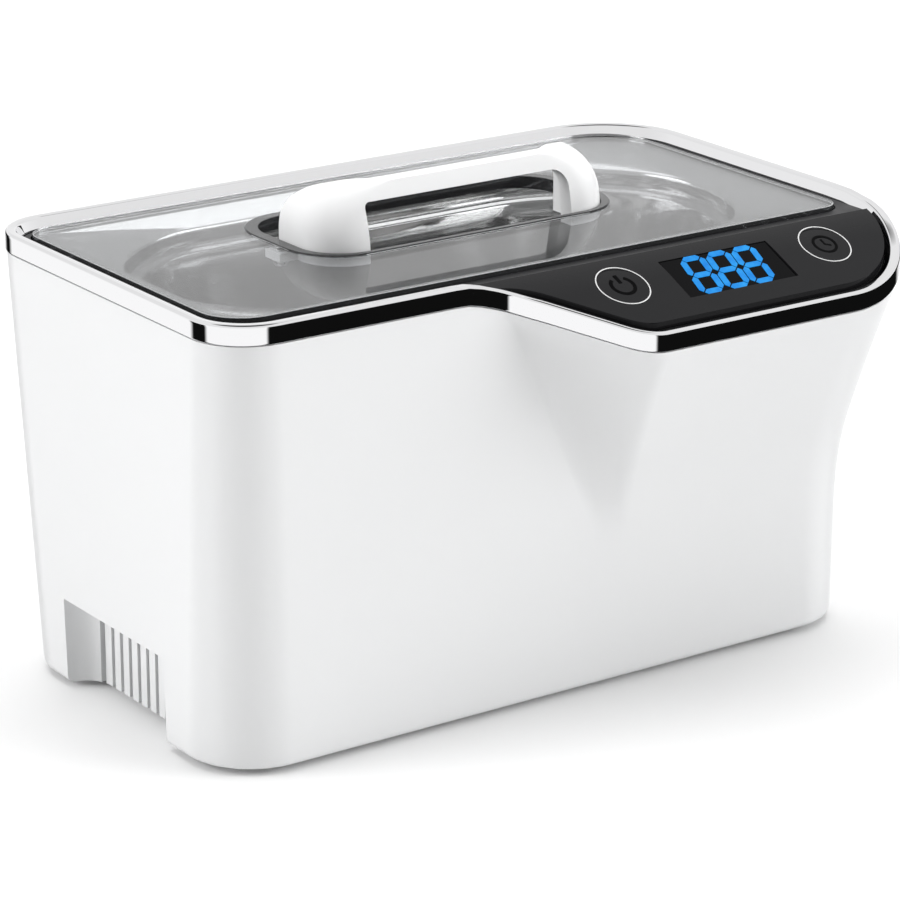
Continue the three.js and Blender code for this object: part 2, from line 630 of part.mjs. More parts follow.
function powerInlet() {
  const { x, z, face, depth, seat } = INLET;
  const { halfLength, halfHeight, corner } = INLET_FLANGE;
  const plan = roundedRectangle({ left: -halfLength, right: halfLength, front: -halfHeight, back: halfHeight,
    radii: evenly(corner) }, 4);
  const flange = prism(plan, 0, face - seat - GAP).rotate([90, 0, 0]).translate([x, face, z]);
  const body = inletBlock(INLET_BODY.halfLength, INLET_BODY.halfHeight, face - depth, face - 1);
  const floor = face - depth + INLET_SOCKET.floor;
  const lobes = [-1, 1].map((side) =>
    rod(x + side * INLET_SOCKET.lobeOffset, z, floor, face + 1, INLET_SOCKET.lobeRadius, 24));
  const waist = inletBlock(INLET_SOCKET.lobeOffset, INLET_SOCKET.waist, floor, face + 1);
  const pinHoles = [-1, 1].map((side) =>
    rod(x + side * INLET.pinOffset, z, face - depth - 1, floor + 1, INLET.pinRadius + GAP));
  return less(flange.add(body), ...lobes, waist, ...pinHoles);
}

const pinEnd = INLET.face - INLET.depth - 3;
const inletPin = (side) =>
  rod(INLET.x + side * INLET.pinOffset, INLET.z, pinEnd, pinEnd + INLET.pinLength, INLET.pinRadius);

function inletLead(side) {
  const x = INLET.x + side * INLET.pinOffset;
  const start = pinEnd - GAP;
  return tube([[x, start, INLET.z], [x, start - 3, INLET.z - 0.3], [x, 33, 22], [x, 32.4, ON_BOARD]], 1, 14);
}

const electrodeZ = (index) => ringTop(index) - RING.height - GAP;
const transducerLead = (index) => tube([[25.5 + GAP, TRANSDUCER.y + 3 * index, electrodeZ(index) - 0.2],
  [28, TRANSDUCER.y + 3 * index, electrodeZ(index) - 4], [30, TRANSDUCER.y - 1 + 4 * index, 18],
  [31, TRANSDUCER.y - 1 + 4 * index, ON_BOARD]], 0.9, 14);

const panelCable = () => tube([[60, -33.2, ON_BOARD + 0.3], [60, -33.8, 16], [58, -45, 30], [56, -49, 60],
  [52, -56, 84], [50, -62, 96]], 1.6, 24);

// ---------------------------------------------------------------- lid
const holeOutline = (side, front, back) => roundedRectangle({
  left: -HOLE.halfLength - side,
  right: HOLE.halfLength + side,
  front: HOLE.front - front,
  back: HOLE.back + back,
  radii: evenly(HOLE.radius + side),
}, 7);
const HANDLE_SCREW_X = 49.3;
const HANDLE_SCREW_Y = 3;

function lid() {
  const plate = prism(roundedRectangle(LID), LID_BOTTOM, LID_TOP);
  const lip = prism(holeOutline(LIP.side, LIP.front, LIP.back), LID_TOP - 1, LID_TOP + LIP.height);
  let cover = plate.add(lip).subtract(prism(holeOutline(0, 0, 0), LID_BOTTOM - 1, LID_TOP + 5));
  for (const side of [-1, 1]) {
    cover = cover.subtract(cylinder(side * HANDLE_SCREW_X, HANDLE_SCREW_Y, LID_BOTTOM - 1, LID_BOTTOM + 3,
      1 + GAP, 12));
  }
  return cover;
}

// the handle is a U-shaped wall, open at the back: its lower edge stands in the lid's hole, its front
// leans back, and both upper ends curve in to the crest
const HANDLE = {
  wall: 4.8, corner: 12, height: 16.5, endRadius: 13, lean: 4.5, back: 8.2, skirt: LID_BOTTOM - 2.5,
};
const FINGER_ARCH = { left: -33, right: 31, height: 12.2, radius: 5 };

function handleRings(wall) {
  const ring = (height, z) => {
    const curve = Math.max(0, height - HANDLE.height + HANDLE.endRadius);
    const side = GAP + wall + HANDLE.endRadius - Math.sqrt(HANDLE.endRadius ** 2 - curve ** 2);
    const front = GAP + wall + HANDLE.lean * (Math.max(0, height) / HANDLE.height) ** 1.5;
    return atHeight(roundedRectangle({
      left: -HOLE.halfLength + side,
      right: HOLE.halfLength - side,
      front: HOLE.front + front,
      back: HALF_DEPTH,
      radii: evenly(HANDLE.corner - wall),
    }), z);
  };
  const rings = [ring(0, HANDLE.skirt - (wall ? 1 : 0))];
  for (const height of [0, 3.5, 8, 11.5, 14, 15.6, 16.3]) rings.push(ring(height, LID_TOP + height));
  rings.push(ring(16.4, LID_TOP + HANDLE.height + (wall ? 1 : 0)));
  return rings;
}

function lidHandle() {
  const crest = LID_TOP + HANDLE.height;
  // side profile: the ends' tops fall from the crest towards the open back
  const profile = [[-20, HANDLE.skirt - 5], [HANDLE.back, HANDLE.skirt - 5], [HANDLE.back, crest - 9.5],
    [6.8, crest - 7], [4, crest - 4], [0, crest - 1.6], [-4.5, crest - 0.2], [-8, crest + 1],
    [-20, crest + 1]];
  const side = bar(profile, -HALF_LENGTH, HALF_LENGTH);
  const wall = skin(handleRings(0)).subtract(skin(handleRings(HANDLE.wall))).intersect(side);
  const { left, right, height, radius } = FINGER_ARCH;
  const archOutline = [];
  arc(archOutline, right - radius, LID_TOP + height - radius, radius, 0, 90, 5);
  arc(archOutline, left + 1.5, LID_TOP + height - 1.5, 1.5, 90, 180, 3);
  const floor = HANDLE.skirt - 5;
  archOutline.push(new THREE.Vector2(left, floor), new THREE.Vector2(right, floor));
  const archShape = new THREE.ExtrudeGeometry(new THREE.Shape(archOutline),
    { depth: 18, bevelEnabled: false });
  archShape.rotateX(Math.PI / 2);
  archShape.translate(0, -3, 0);
  const tabs = [-1, 1].map((end) => {
    const near = end * (HOLE.halfLength - 3);
    const far = end * (HANDLE_SCREW_X + 2.4);
    return box(Math.min(near, far), Math.max(near, far), HANDLE_SCREW_Y - 3.5, HANDLE_SCREW_Y + 3.5,
      HANDLE.skirt, LID_BOTTOM - GAP);
  });
  const holes = [-1, 1].map((end) =>
    cylinder(end * HANDLE_SCREW_X, HANDLE_SCREW_Y, HANDLE.skirt - 1, LID_BOTTOM, 1 + GAP, 12));
  return less(joined(wall.subtract(toSolid(archShape)), ...tabs), ...holes);
}

function handleScrew(end) {
  const under = HANDLE.skirt - GAP;
  return turned([[0, under - 1.4], [1.6, under - 1.4], [2.2, under - 0.7], [2.2, under], [1, under],
    [1, LID_BOTTOM + 2.4], [0, LID_BOTTOM + 2.6]], end * HANDLE_SCREW_X, HANDLE_SCREW_Y, 12);
}

// ---------------------------------------------------------------- materials
const finish = (color, roughness, metalness = 0, extra = {}) =>
  ({ color, roughness, metalness, ...extra });

const WHITE = finish(0xf4f4f2, 0.28);
const CHROME = finish(0xe6e8ea, 0.08, 1);
const BLACK = finish(0x141516, 0.45);
const GLOSS_BLACK = finish(0x232425, 0.12);
const STEEL = finish(0xb9bcbe, 0.25, 1);
const RUBBER = finish(0x1a1a1a, 0.85);
const SMOKE = finish(0x4a4d50, 0.08, 0, { transparent: true, opacity: 0.45 });
const BOARD_GREEN = finish(0x1f5a34, 0.5);
const CERAMIC = finish(0xd9d2c2, 0.6);
const BRASS = finish(0xb9923f, 0.35, 1);
const ALUMINIUM = finish(0xc4c6c8, 0.4, 1);
const FERRITE = finish(0x3b3b3d, 0.7);
const COPPER = finish(0xb4622c, 0.4, 1);

const cleaner = new THREE.Group();
cleaner.name = 'ultrasonic_cleaner';
const pieces = new THREE.Group();
pieces.position.set(0, POD_DEPTH / 2, FOOT_HEIGHT);
cleaner.add(pieces);

function add(name, solid, look) {
  const mesh = new THREE.Mesh(toGeometry(solid), new THREE.MeshStandardMaterial(look));
  mesh.name = name;
  pieces.add(mesh);
}

add('housing', housing(), WHITE);
add('base_cover', baseCover(), WHITE);
add('chrome_trim', chromeTrim(), CHROME);
add('top_frame', topFrame(), BLACK);
add('tank', tank(), STEEL);
add('tank_gasket', tankGasket(), RUBBER);
add('control_panel', controlPanel(), GLOSS_BLACK);
add('display_window', displayWindow(), SMOKE);
add('display_module', displayModule(), BLACK);
add('control_board', controlBoard(), BOARD_GREEN);
for (const [name, x] of Object.entries(SENSORS)) add(`touch_spring_${name}`, touchSpring(x), STEEL);
add('transducer_front_mass', frontMass(), ALUMINIUM);
add('piezo_ring_upper', piezoRing(0), CERAMIC);
add('piezo_ring_lower', piezoRing(1), CERAMIC);
add('electrode_upper', electrode(0), BRASS);
add('electrode_lower', electrode(1), BRASS);
add('transducer_back_mass', backMass(), STEEL);
add('transducer_bolt', transducerBolt(), STEEL);
add('main_board', mainBoard(), BOARD_GREEN);
add('transformer_core', transformerCore(), FERRITE);
add('transformer_winding', transformerWinding(), COPPER);
add('filter_capacitor', filterCapacitor(), BLACK);
add('heat_sink', heatSink(), ALUMINIUM);
add('transistor_1', transistor(48), BLACK);
add('transistor_2', transistor(66), BLACK);
add('choke', choke(), COPPER);
add('mains_fuse', mainsFuse(), CERAMIC);
add('power_inlet', powerInlet(), BLACK);
[-1, 1].forEach((side, i) => add(`inlet_pin_${i + 1}`, inletPin(side), BRASS));
[-1, 1].forEach((side, i) => add(`inlet_lead_${i + 1}`, inletLead(side), RUBBER));
[0, 1].forEach((index) => add(`transducer_lead_${index + 1}`, transducerLead(index), RUBBER));
add('panel_cable', panelCable(), RUBBER);
add('lid', lid(), SMOKE);
add('lid_handle', lidHandle(), WHITE);
[-1, 1].forEach((end, i) => add(`handle_screw_${i + 1}`, handleScrew(end), STEEL));
FEET.forEach(([x, y], i) => add(`foot_${i + 1}`, foot(x, y), RUBBER));
SCREW_POSTS.forEach(([x, y], i) => add(`base_screw_${i + 1}`, baseScrew(x, y), STEEL));
BOARD_POSTS.forEach(([x, y], i) => add(`board_screw_${i + 1}`, boardScrew(x, y), STEEL));

export default cleaner;
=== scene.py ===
"""Tabletop ultrasonic cleaner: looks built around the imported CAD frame.

Design lengths are in millimetres in the part's own inner frame: X along the long side, Y to the back, Z up from
the shell's lower edge, with X = Y = 0 at the middle of the main rectangle. place() gives the frame's points.
"""
import math

import bmesh
import bpy
from mathutils import Matrix, Vector


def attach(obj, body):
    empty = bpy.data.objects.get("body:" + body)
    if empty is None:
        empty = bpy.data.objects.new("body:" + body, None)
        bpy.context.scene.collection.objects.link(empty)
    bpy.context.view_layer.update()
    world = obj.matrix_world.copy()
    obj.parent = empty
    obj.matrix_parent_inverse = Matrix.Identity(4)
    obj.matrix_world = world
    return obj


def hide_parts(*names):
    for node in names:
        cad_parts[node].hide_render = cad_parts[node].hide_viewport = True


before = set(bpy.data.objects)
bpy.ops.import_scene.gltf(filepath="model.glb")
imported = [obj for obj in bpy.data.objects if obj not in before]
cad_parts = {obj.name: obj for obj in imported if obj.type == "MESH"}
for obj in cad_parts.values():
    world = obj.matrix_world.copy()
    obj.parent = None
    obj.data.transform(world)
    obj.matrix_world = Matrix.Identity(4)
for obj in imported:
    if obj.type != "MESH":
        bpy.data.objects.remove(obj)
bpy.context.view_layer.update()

# ------------------------------------------------------------------ design dimensions, as in the CAD
HALF_LENGTH, HALF_DEPTH, POD_DEPTH = 105.0, 60.0, 22.0
RIM, FOOT = 119.0, 1.5
GAP, WALL = 0.3, 2.4
POD_START, POD_END = -26.0, 12.0                # the pod's S-curve at the rim
LOW_START, LOW_END = 13.0, 21.0                 # and where it fades into the front
SIDE_DRAFT, FRONT_DRAFT, BACK_DRAFT = 2.6, 6.5, 5.5
BASE_RADIUS = 19.6
RIM_RADII = (16.0, 32.0, 26.0, 16.0)          # front left, front right, back right, back left
BLEND_LOW, BLEND_HIGH, GROWTH = 34.0, 64.0, 0.34
SLOPE = math.tan(math.radians(24.5))
SLOPE_START, SLOPE_BLEND, SLOPE_FADE = -37.5, 26.0, 20
TRIM_HEIGHT, TRIM_WIDTH = 5.2, 4.0
LID_TOP = RIM - 2
LID_BOTTOM = LID_TOP - 3.2
FLANGE_TOP = LID_BOTTOM - GAP
SHEET = 0.9
SEAT_TOP = FLANGE_TOP - SHEET - 1 - 2 * GAP
LEDGE_TOP = RIM - 3.3
LID = (-96.8, 96.8, -47.5, 54.2, (12, 6, 16, 8))
LID_Y = (LID[2] + LID[3]) / 2
HOLE = (-46.7, 46.7, -14.8, 26.8, (12.4,) * 4)
TANK_FLOOR = FLANGE_TOP - 50
MOUTH_TOP = FLANGE_TOP - 3.2                    # the flange slopes down to the basin's mouth
STEP_DEPTH, STEP_WIDTH = 5.0, 2.6               # step inside the basin
FLANGE_SEAT = 4.0
DISPLAY = (43.9, -65.0)                        # middle of the display, X and Y


def place(x, y, z):
    """Design point in millimetres to a point of the row frame in metres."""
    return Vector((x / 1000, (y + POD_DEPTH / 2) / 1000, (z + FOOT) / 1000))


# ------------------------------------------------------------------ outlines
def arc(cx, cy, radius, start, stop, steps):
    turn = [math.radians(start + (stop - start) * i / steps) for i in range(steps + 1)]
    return [(cx + radius * math.cos(a), cy + radius * math.sin(a)) for a in turn]


def rounded(shape, by=0.0, steps=14):
    """Rounded rectangle, grown by a distance, counter-clockwise from the front left."""
    left, right, front, back, radii = shape
    left, right, front, back = left - by, right + by, front - by, back + by
    fl, fr, br, bl = (max(0.2, r + by) for r in radii)
    return (arc(left + fl, front + fl, fl, 180, 270, steps) + arc(right - fr, front + fr, fr, 270, 360, steps)
            + arc(right - br, back - br, br, 0, 90, steps) + arc(left + bl, back - bl, bl, 90, 180, steps))


def smooth(t):
    t = min(1.0, max(0.0, t))
    return t * t * (3 - 2 * t)


def sway(t, soft=0.3):
    """S-curve from 0 to 1: an arc, a straight run and an arc."""
    speed = 1 / (1 - soft)
    if t < soft:
        return speed * t * t / (2 * soft)
    if t > 1 - soft:
        return 1 - speed * (1 - t) ** 2 / (2 * soft)
    return speed * (t - soft / 2)


# spans of each stretch of the plan outline, the same at every level
LEFT_STEPS, FRONT_STEPS, SWAY_STEPS, POD_CORNER_STEPS, SIDE_STEPS, BACK_CORNER_STEPS = 16, 16, 32, 28, 11, 22


def body_outline(share, reach):
    """Plan outline with the pod standing out by reach; share is 0 at the base and 1 at the rim."""
    left, right = -HALF_LENGTH + SIDE_DRAFT * (1 - share), HALF_LENGTH - SIDE_DRAFT * (1 - share)
    front, back = -HALF_DEPTH + FRONT_DRAFT * (1 - share), HALF_DEPTH - BACK_DRAFT * (1 - share)
    fl, fr, br, bl = (BASE_RADIUS + (r - BASE_RADIUS) * share for r in RIM_RADII)
    rise = max(0.0, (share * RIM - BLEND_LOW) / (RIM - BLEND_LOW))
    start = LOW_START + (POD_START - LOW_START) * rise
    end = LOW_END + (POD_END - LOW_END) * rise
    points = arc(left + fl, front + fl, fl, 180, 270, LEFT_STEPS)
    for i in range(1, FRONT_STEPS):
        points.append((left + fl + (start - left - fl) * i / FRONT_STEPS, front))
    for i in range(SWAY_STEPS + 1):
        t = i / SWAY_STEPS
        points.append((start + (end - start) * t, front - reach * sway(t)))
    points += arc(right - fr, front - reach + fr, fr, 270, 360, POD_CORNER_STEPS)
    for i in range(1, SIDE_STEPS):
        points.append((right, front - reach + fr + (back - br - front + reach - fr) * i / SIDE_STEPS))
    points += arc(right - br, back - br, br, 0, 90, BACK_CORNER_STEPS)
    points += arc(left + bl, back - bl, bl, 90, 180, LEFT_STEPS)
    return points


def inset(outline, distance):
    """Outline moved inwards by a distance, with the same number of points."""
    count = len(outline)
    moved = []
    for i, (x, y) in enumerate(outline):
        ax, ay = outline[i - 1]
        bx, by = outline[(i + 1) % count]
        first = Vector((x - ax, y - ay)).normalized()
        second = Vector((bx - x, by - y)).normalized()
        normal = Vector((-first.y - second.y, first.x + second.x)).normalized()
        spread = normal.dot(Vector((-first.y, first.x)))
        moved.append((x + normal.x * distance / spread, y + normal.y * distance / spread))
    return moved


RIM_LINE = body_outline(1, POD_DEPTH)


def drop(y):
    """How far the rim has sunk below its level part at a depth y."""
    run = max(0.0, SLOPE_START - y)
    return SLOPE * run * run / (2 * SLOPE_BLEND) if run < SLOPE_BLEND else SLOPE * (run - SLOPE_BLEND / 2)


def rim_drop(x, y):
    """The same, for the pod only: it fades out over SLOPE_FADE where the pod starts."""
    return drop(y) * smooth((x - POD_START + SLOPE_FADE / 2) / SLOPE_FADE)


def pod_reach(z):
    """How far the pod stands out at a height z."""
    if z <= BLEND_LOW:
        return 0.0
    if z < BLEND_HIGH:
        return GROWTH * (z - BLEND_LOW) ** 2 / (2 * (BLEND_HIGH - BLEND_LOW))
    return min(POD_DEPTH, GROWTH * (z - (BLEND_LOW + BLEND_HIGH) / 2))


# ------------------------------------------------------------------ mesh helpers
def new_object(name, vertices, faces):
    mesh = bpy.data.meshes.new(name)
    mesh.from_pydata([place(*v) for v in vertices], [], faces)
    mesh.validate()
    obj = bpy.data.objects.new(name, mesh)
    bpy.context.scene.collection.objects.link(obj)
    tidy = bmesh.new()
    tidy.from_mesh(mesh)
    bmesh.ops.remove_doubles(tidy, verts=tidy.verts, dist=1e-7)
    bmesh.ops.recalc_face_normals(tidy, faces=tidy.faces)
    tidy.to_mesh(mesh)
    tidy.free()
    return obj


def skin(name, rings, closed=False):
    """Mesh over rings of equal length, each a list of (x, y, z)."""
    count = len(rings[0])
    vertices = [point for ring in rings for point in ring]
    faces = []
    for r in range(len(rings) if closed else len(rings) - 1):
        up = (r + 1) % len(rings)
        for i in range(count):
            j = (i + 1) % count
            faces.append((r * count + i, r * count + j, up * count + j, up * count + i))
    if not closed:
        faces.append(tuple(reversed(range(count))))
        faces.append(tuple((len(rings) - 1) * count + i for i in range(count)))
    return new_object(name, vertices, faces)


def level(outline, z):
    return [(x, y, z) for x, y in outline]


def prism(name, outline, z0, z1):
    return skin(name, [level(outline, z0), level(outline, z1)])


def slab(name, x0, x1, y0, y1, z0, z1):
    return prism(name, [(x0, y0), (x1, y0), (x1, y1), (x0, y1)], z0, z1)


def bar(name, profile, x0, x1):
    """Prism along X over a closed profile of (y, z)."""
    return skin(name, [[(x0, y, z) for y, z in profile], [(x1, y, z) for y, z in profile]])


def apply(obj):
    """Makes the object's mesh what its modifiers show, and removes them."""
    graph = bpy.context.evaluated_depsgraph_get()
    mesh = bpy.data.meshes.new_from_object(obj.evaluated_get(graph))
    obj.modifiers.clear()
    old = obj.data
    obj.data = mesh
    bpy.data.meshes.remove(old)
    return obj


def combine(obj, tool, operation):
    modifier = obj.modifiers.new("cut", "BOOLEAN")
    modifier.operation = operation
    modifier.solver = "EXACT"
    modifier.object = tool
    bpy.context.view_layer.update()
    apply(obj)
    bpy.data.objects.remove(tool, do_unlink=True)
    return obj


def cut(obj, *tools):
    for tool in tools:
        combine(obj, tool, "DIFFERENCE")
    return obj


def common(obj, tool):
    return combine(obj, tool, "INTERSECT")


def join(obj, *tools):
    for tool in tools:
        combine(obj, tool, "UNION")
    return obj


def soften(obj, width=0.4, segments=3, angle=35, shade=40):
    """Rounds the edges sharper than angle and shades the rest smooth."""
    if width:
        modifier = obj.modifiers.new("edge", "BEVEL")
        modifier.width = width / 1000
        modifier.segments = segments
        modifier.limit_method = "ANGLE"
        modifier.angle_limit = math.radians(angle)
        apply(obj)
    obj.data.shade_smooth()
    obj.data.set_sharp_from_angle(angle=math.radians(shade))
    if width:
        # broad faces stay flat beside their rounded edges
        modifier = obj.modifiers.new("flat", "WEIGHTED_NORMAL")
        modifier.keep_sharp = True
        apply(obj)
    return obj


def turned(name, profile, x, y, segments=64):
    """Turned piece about the vertical through (x, y): profile of (radius, z) upwards on the outside."""
    vertices, faces = [], []
    rings = []
    for radius, z in profile:
        if radius < 1e-6:
            rings.append([len(vertices)])
            vertices.append((x, y, z))
        else:
            rings.append(list(range(len(vertices), len(vertices) + segments)))
            for i in range(segments):
                a = 2 * math.pi * i / segments
                vertices.append((x + radius * math.cos(a), y + radius * math.sin(a), z))
    for low, high in zip(rings, rings[1:]):
        for i in range(segments):
            j = (i + 1) % segments
            a, b = low[i % len(low)], low[j % len(low)]
            c, d = high[j % len(high)], high[i % len(high)]
            face = [a]
            for v in (b, c, d):
                if v not in face:
                    face.append(v)
            if len(face) > 2:
                faces.append(tuple(face))
    return new_object(name, vertices, faces)


# ------------------------------------------------------------------ materials
def material(name, color, roughness, **settings):
    made = bpy.data.materials.new(name)
    made.use_nodes = True
    shader = made.node_tree.nodes["Principled BSDF"]
    shader.inputs["Base Color"].default_value = (*color, 1)
    shader.inputs["Roughness"].default_value = roughness
    for key, value in settings.items():
        shader.inputs[key.replace("_", " ")].default_value = value
    return made


def noise(made, scale, detail=3.0):
    nodes, links = made.node_tree.nodes, made.node_tree.links
    where = nodes.new("ShaderNodeTexCoord")
    texture = nodes.new("ShaderNodeTexNoise")
    texture.inputs["Scale"].default_value = scale
    texture.inputs["Detail"].default_value = detail
    links.new(where.outputs["Object"], texture.inputs["Vector"])
    return texture


def ranged(made, value, low, high):
    node = made.node_tree.nodes.new("ShaderNodeMapRange")
    node.interpolation_type = "SMOOTHSTEP"
    node.inputs["From Min"].default_value = 0.2
    node.inputs["From Max"].default_value = 0.8
    node.inputs["To Min"].default_value = low
    node.inputs["To Max"].default_value = high
    made.node_tree.links.new(value, node.inputs["Value"])
    return node.outputs["Result"]


def vary_roughness(made, low, high, scale=40):
    """Roughness that drifts between two values over the surface."""
    shader = made.node_tree.nodes["Principled BSDF"]
    value = ranged(made, noise(made, scale).outputs["Fac"], low, high)
    made.node_tree.links.new(value, shader.inputs["Roughness"])
    return made


def vary_color(made, low, high, scale=30):
    """Colour that drifts between two values over the surface."""
    nodes, links = made.node_tree.nodes, made.node_tree.links
    ramp = nodes.new("ShaderNodeValToRGB")
    ramp.color_ramp.elements[0].position, ramp.color_ramp.elements[1].position = 0.35, 0.65
    ramp.color_ramp.elements[0].color, ramp.color_ramp.elements[1].color = (*low, 1), (*high, 1)
    links.new(noise(made, scale).outputs["Fac"], ramp.inputs["Fac"])
    links.new(ramp.outputs["Color"], nodes["Principled BSDF"].inputs["Base Color"])
    return made


def grain(made, scale, distance, strength=0.3, stretch=(1, 1, 1)):
    """Fine relief: distance is its height in metres."""
    nodes, links = made.node_tree.nodes, made.node_tree.links
    texture = noise(made, scale)
    mapping = nodes.new("ShaderNodeMapping")
    mapping.inputs["Scale"].default_value = stretch
    where = texture.inputs["Vector"].links[0].from_socket
    links.new(where, mapping.inputs["Vector"])
    links.new(mapping.outputs["Vector"], texture.inputs["Vector"])
    bump = nodes.new("ShaderNodeBump")
    bump.inputs["Strength"].default_value = strength
    bump.inputs["Distance"].default_value = distance
    links.new(texture.outputs["Fac"], bump.inputs["Height"])
    links.new(bump.outputs["Normal"], nodes["Principled BSDF"].inputs["Normal"])
    return made


WHITE = grain(vary_roughness(material("white_gloss", (0.80, 0.805, 0.81), 0.29, IOR=1.5), 0.28, 0.3),
              900, 3e-6, 0.1)
# lighter copy of the white plastic for the handle: painted light, so its shaded sides look fully lit
LIT_HANDLE_WHITE = grain(vary_roughness(material("handle_white_painted_light", (0.93, 0.933, 0.936), 0.2, IOR=1.5), 0.14, 0.18),
                     700, 3e-6, 0.1)
CHROME = vary_roughness(material("chrome", (0.93, 0.93, 0.94), 0.04, Metallic=1.0), 0.02, 0.07, 60)
BLACK = grain(vary_roughness(material("black_plastic", (0.014, 0.014, 0.015), 0.4, Specular_IOR_Level=0.3),
                             0.35, 0.5, 120), 2500, 6e-5, 0.5)
PANEL = vary_roughness(material("panel_black", (0.012, 0.012, 0.013), 0.08, Specular_IOR_Level=0.12),
                       0.06, 0.1, 50)
SMOKE = vary_roughness(material("smoke_clear", (0.66, 0.67, 0.68), 0.02, Transmission_Weight=1.0, IOR=1.47),
                       0.01, 0.035, 30)
# darker smoke: thicker plastic on the hole's frame, painted shade on the hole's walls and the lid's side faces
SMOKE_THICK_AND_SHADE = vary_roughness(material("smoke_dark_thick_and_painted_shade", (0.05, 0.051, 0.053), 0.05, Transmission_Weight=0.4,
                                     IOR=1.47), 0.03, 0.08, 60)
# lighter frosted smoke on the lid's rounded edges: a painted highlight line along them
EDGE_HIGHLIGHT = vary_roughness(material("lid_edge_painted_highlight", (0.62, 0.63, 0.64), 0.3, Transmission_Weight=0.3, IOR=1.47),
                      0.25, 0.4, 90)
STEEL = vary_roughness(material("drawn_steel", (0.68, 0.68, 0.675), 0.12, Metallic=1.0), 0.1, 0.14, 25)
# darker copy of the drawn steel: painted shade inside the basin
SHADED_BASIN_STEEL = vary_roughness(material("basin_steel_painted_shade", (0.36, 0.36, 0.357), 0.1, Metallic=1.0), 0.08, 0.12, 25)
RUBBER = grain(vary_roughness(material("rubber", (0.03, 0.03, 0.032), 0.8), 0.7, 0.9, 80), 1500, 8e-5, 0.5)
SCREW = vary_roughness(material("screw_steel", (0.55, 0.55, 0.56), 0.3, Metallic=1.0), 0.22, 0.4, 300)
BRASS = vary_roughness(material("brass", (0.72, 0.53, 0.24), 0.3, Metallic=1.0), 0.22, 0.4, 200)
ALUMINIUM = grain(vary_roughness(material("aluminium", (0.78, 0.79, 0.8), 0.35, Metallic=1.0),
                                 0.28, 0.42, 120), 500, 3e-5, 0.3, (1, 1, 6))
CERAMIC = vary_color(material("piezo_ceramic", (0.75, 0.7, 0.6), 0.6),
                     (0.7, 0.65, 0.55), (0.8, 0.76, 0.67), 120)
BOARD = vary_color(material("circuit_board", (0.03, 0.2, 0.07), 0.35),
                   (0.02, 0.15, 0.05), (0.04, 0.24, 0.09), 220)
FERRITE = grain(vary_color(material("ferrite", (0.05, 0.05, 0.055), 0.7),
                           (0.035, 0.035, 0.04), (0.07, 0.07, 0.075), 300), 1800, 5e-5, 0.4)
COPPER = grain(vary_color(material("copper_wire", (0.6, 0.25, 0.09), 0.3, Metallic=0.8), (0.5, 0.19, 0.06),
                          (0.7, 0.32, 0.12), 200), 900, 1e-4, 0.6, (1, 1, 10))
LEAD = vary_roughness(material("lead_insulation", (0.04, 0.04, 0.045), 0.5), 0.4, 0.6, 300)
CAPACITOR = vary_color(material("capacitor_sleeve", (0.03, 0.03, 0.05), 0.3),
                       (0.02, 0.02, 0.04), (0.045, 0.045, 0.07), 90)
FUSE_GLASS = vary_roughness(material("fuse_glass", (0.9, 0.92, 0.92), 0.05, Transmission_Weight=0.9,
                                     IOR=1.45), 0.03, 0.08, 100)
INK = vary_roughness(material("panel_print", (0.72, 0.72, 0.72), 0.5), 0.45, 0.6, 300)
DARK_INK = vary_roughness(material("panel_print_dark", (0.001, 0.001, 0.0012), 0.5, Specular_IOR_Level=0.04),
                          0.45, 0.6, 300)
DISPLAY_GLASS = vary_roughness(material("display_glass", (0.002, 0.002, 0.0025), 0.05,
                                        Specular_IOR_Level=0.05), 0.04, 0.08, 60)


def let_light_through(made, tint):
    """Lets the lamps shine through a clear plastic on to what is under it."""
    nodes, links = made.node_tree.nodes, made.node_tree.links
    path = nodes.new("ShaderNodeLightPath")
    clear = nodes.new("ShaderNodeBsdfTransparent")
    clear.inputs["Color"].default_value = (*tint, 1)
    mix = nodes.new("ShaderNodeMixShader")
    links.new(path.outputs["Is Shadow Ray"], mix.inputs["Fac"])
    links.new(nodes["Principled BSDF"].outputs["BSDF"], mix.inputs[1])
    links.new(clear.outputs["BSDF"], mix.inputs[2])
    links.new(mix.outputs["Shader"], nodes["Material Output"].inputs["Surface"])


let_light_through(SMOKE, (0.6, 0.6, 0.61))


def lit_material():
    made = material("display_blue", (0.005, 0.03, 0.1), 0.3, Emission_Strength=1.0, Specular_IOR_Level=0.1)
    nodes, links = made.node_tree.nodes, made.node_tree.links
    ramp = nodes.new("ShaderNodeValToRGB")
    ramp.color_ramp.elements[0].position, ramp.color_ramp.elements[1].position = 0.3, 0.7
    ramp.color_ramp.elements[0].color = (0.005, 0.21, 0.66, 1)
    ramp.color_ramp.elements[1].color = (0.02, 0.34, 0.8, 1)
    links.new(noise(made, 400).outputs["Fac"], ramp.inputs["Fac"])
    links.new(ramp.outputs["Color"], nodes["Principled BSDF"].inputs["Emission Color"])
    return made


BLUE = lit_material()


def finish_piece(obj, look, body, slot, *nodes):
    obj.data.materials.clear()
    for one in (look if isinstance(look, (list, tuple)) else [look]):
        obj.data.materials.append(one)
    if nodes:
        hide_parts(*nodes)
    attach(obj, body)
    return obj


# ------------------------------------------------------------------ housing
POCKET = dict(y=1.5, half=25.5, top=24.0, inner=94.0, radius=8.0)
SLOTS, PITCH, SLOT_WIDTH, SLOT_TOP = 10, 4.5, 1.6, 19.0
SHELL_TOP = RIM - TRIM_HEIGHT - GAP
EDGE_RADIUS = 2.0                               # of the shell's lower edge
TOP_INSET = 0.4                                 # the shell's top edge lies this far inside the rim's line
INLET = (47.5, 68.5, 24, 36)                    # hole for the mains inlet: left, right, bottom and top


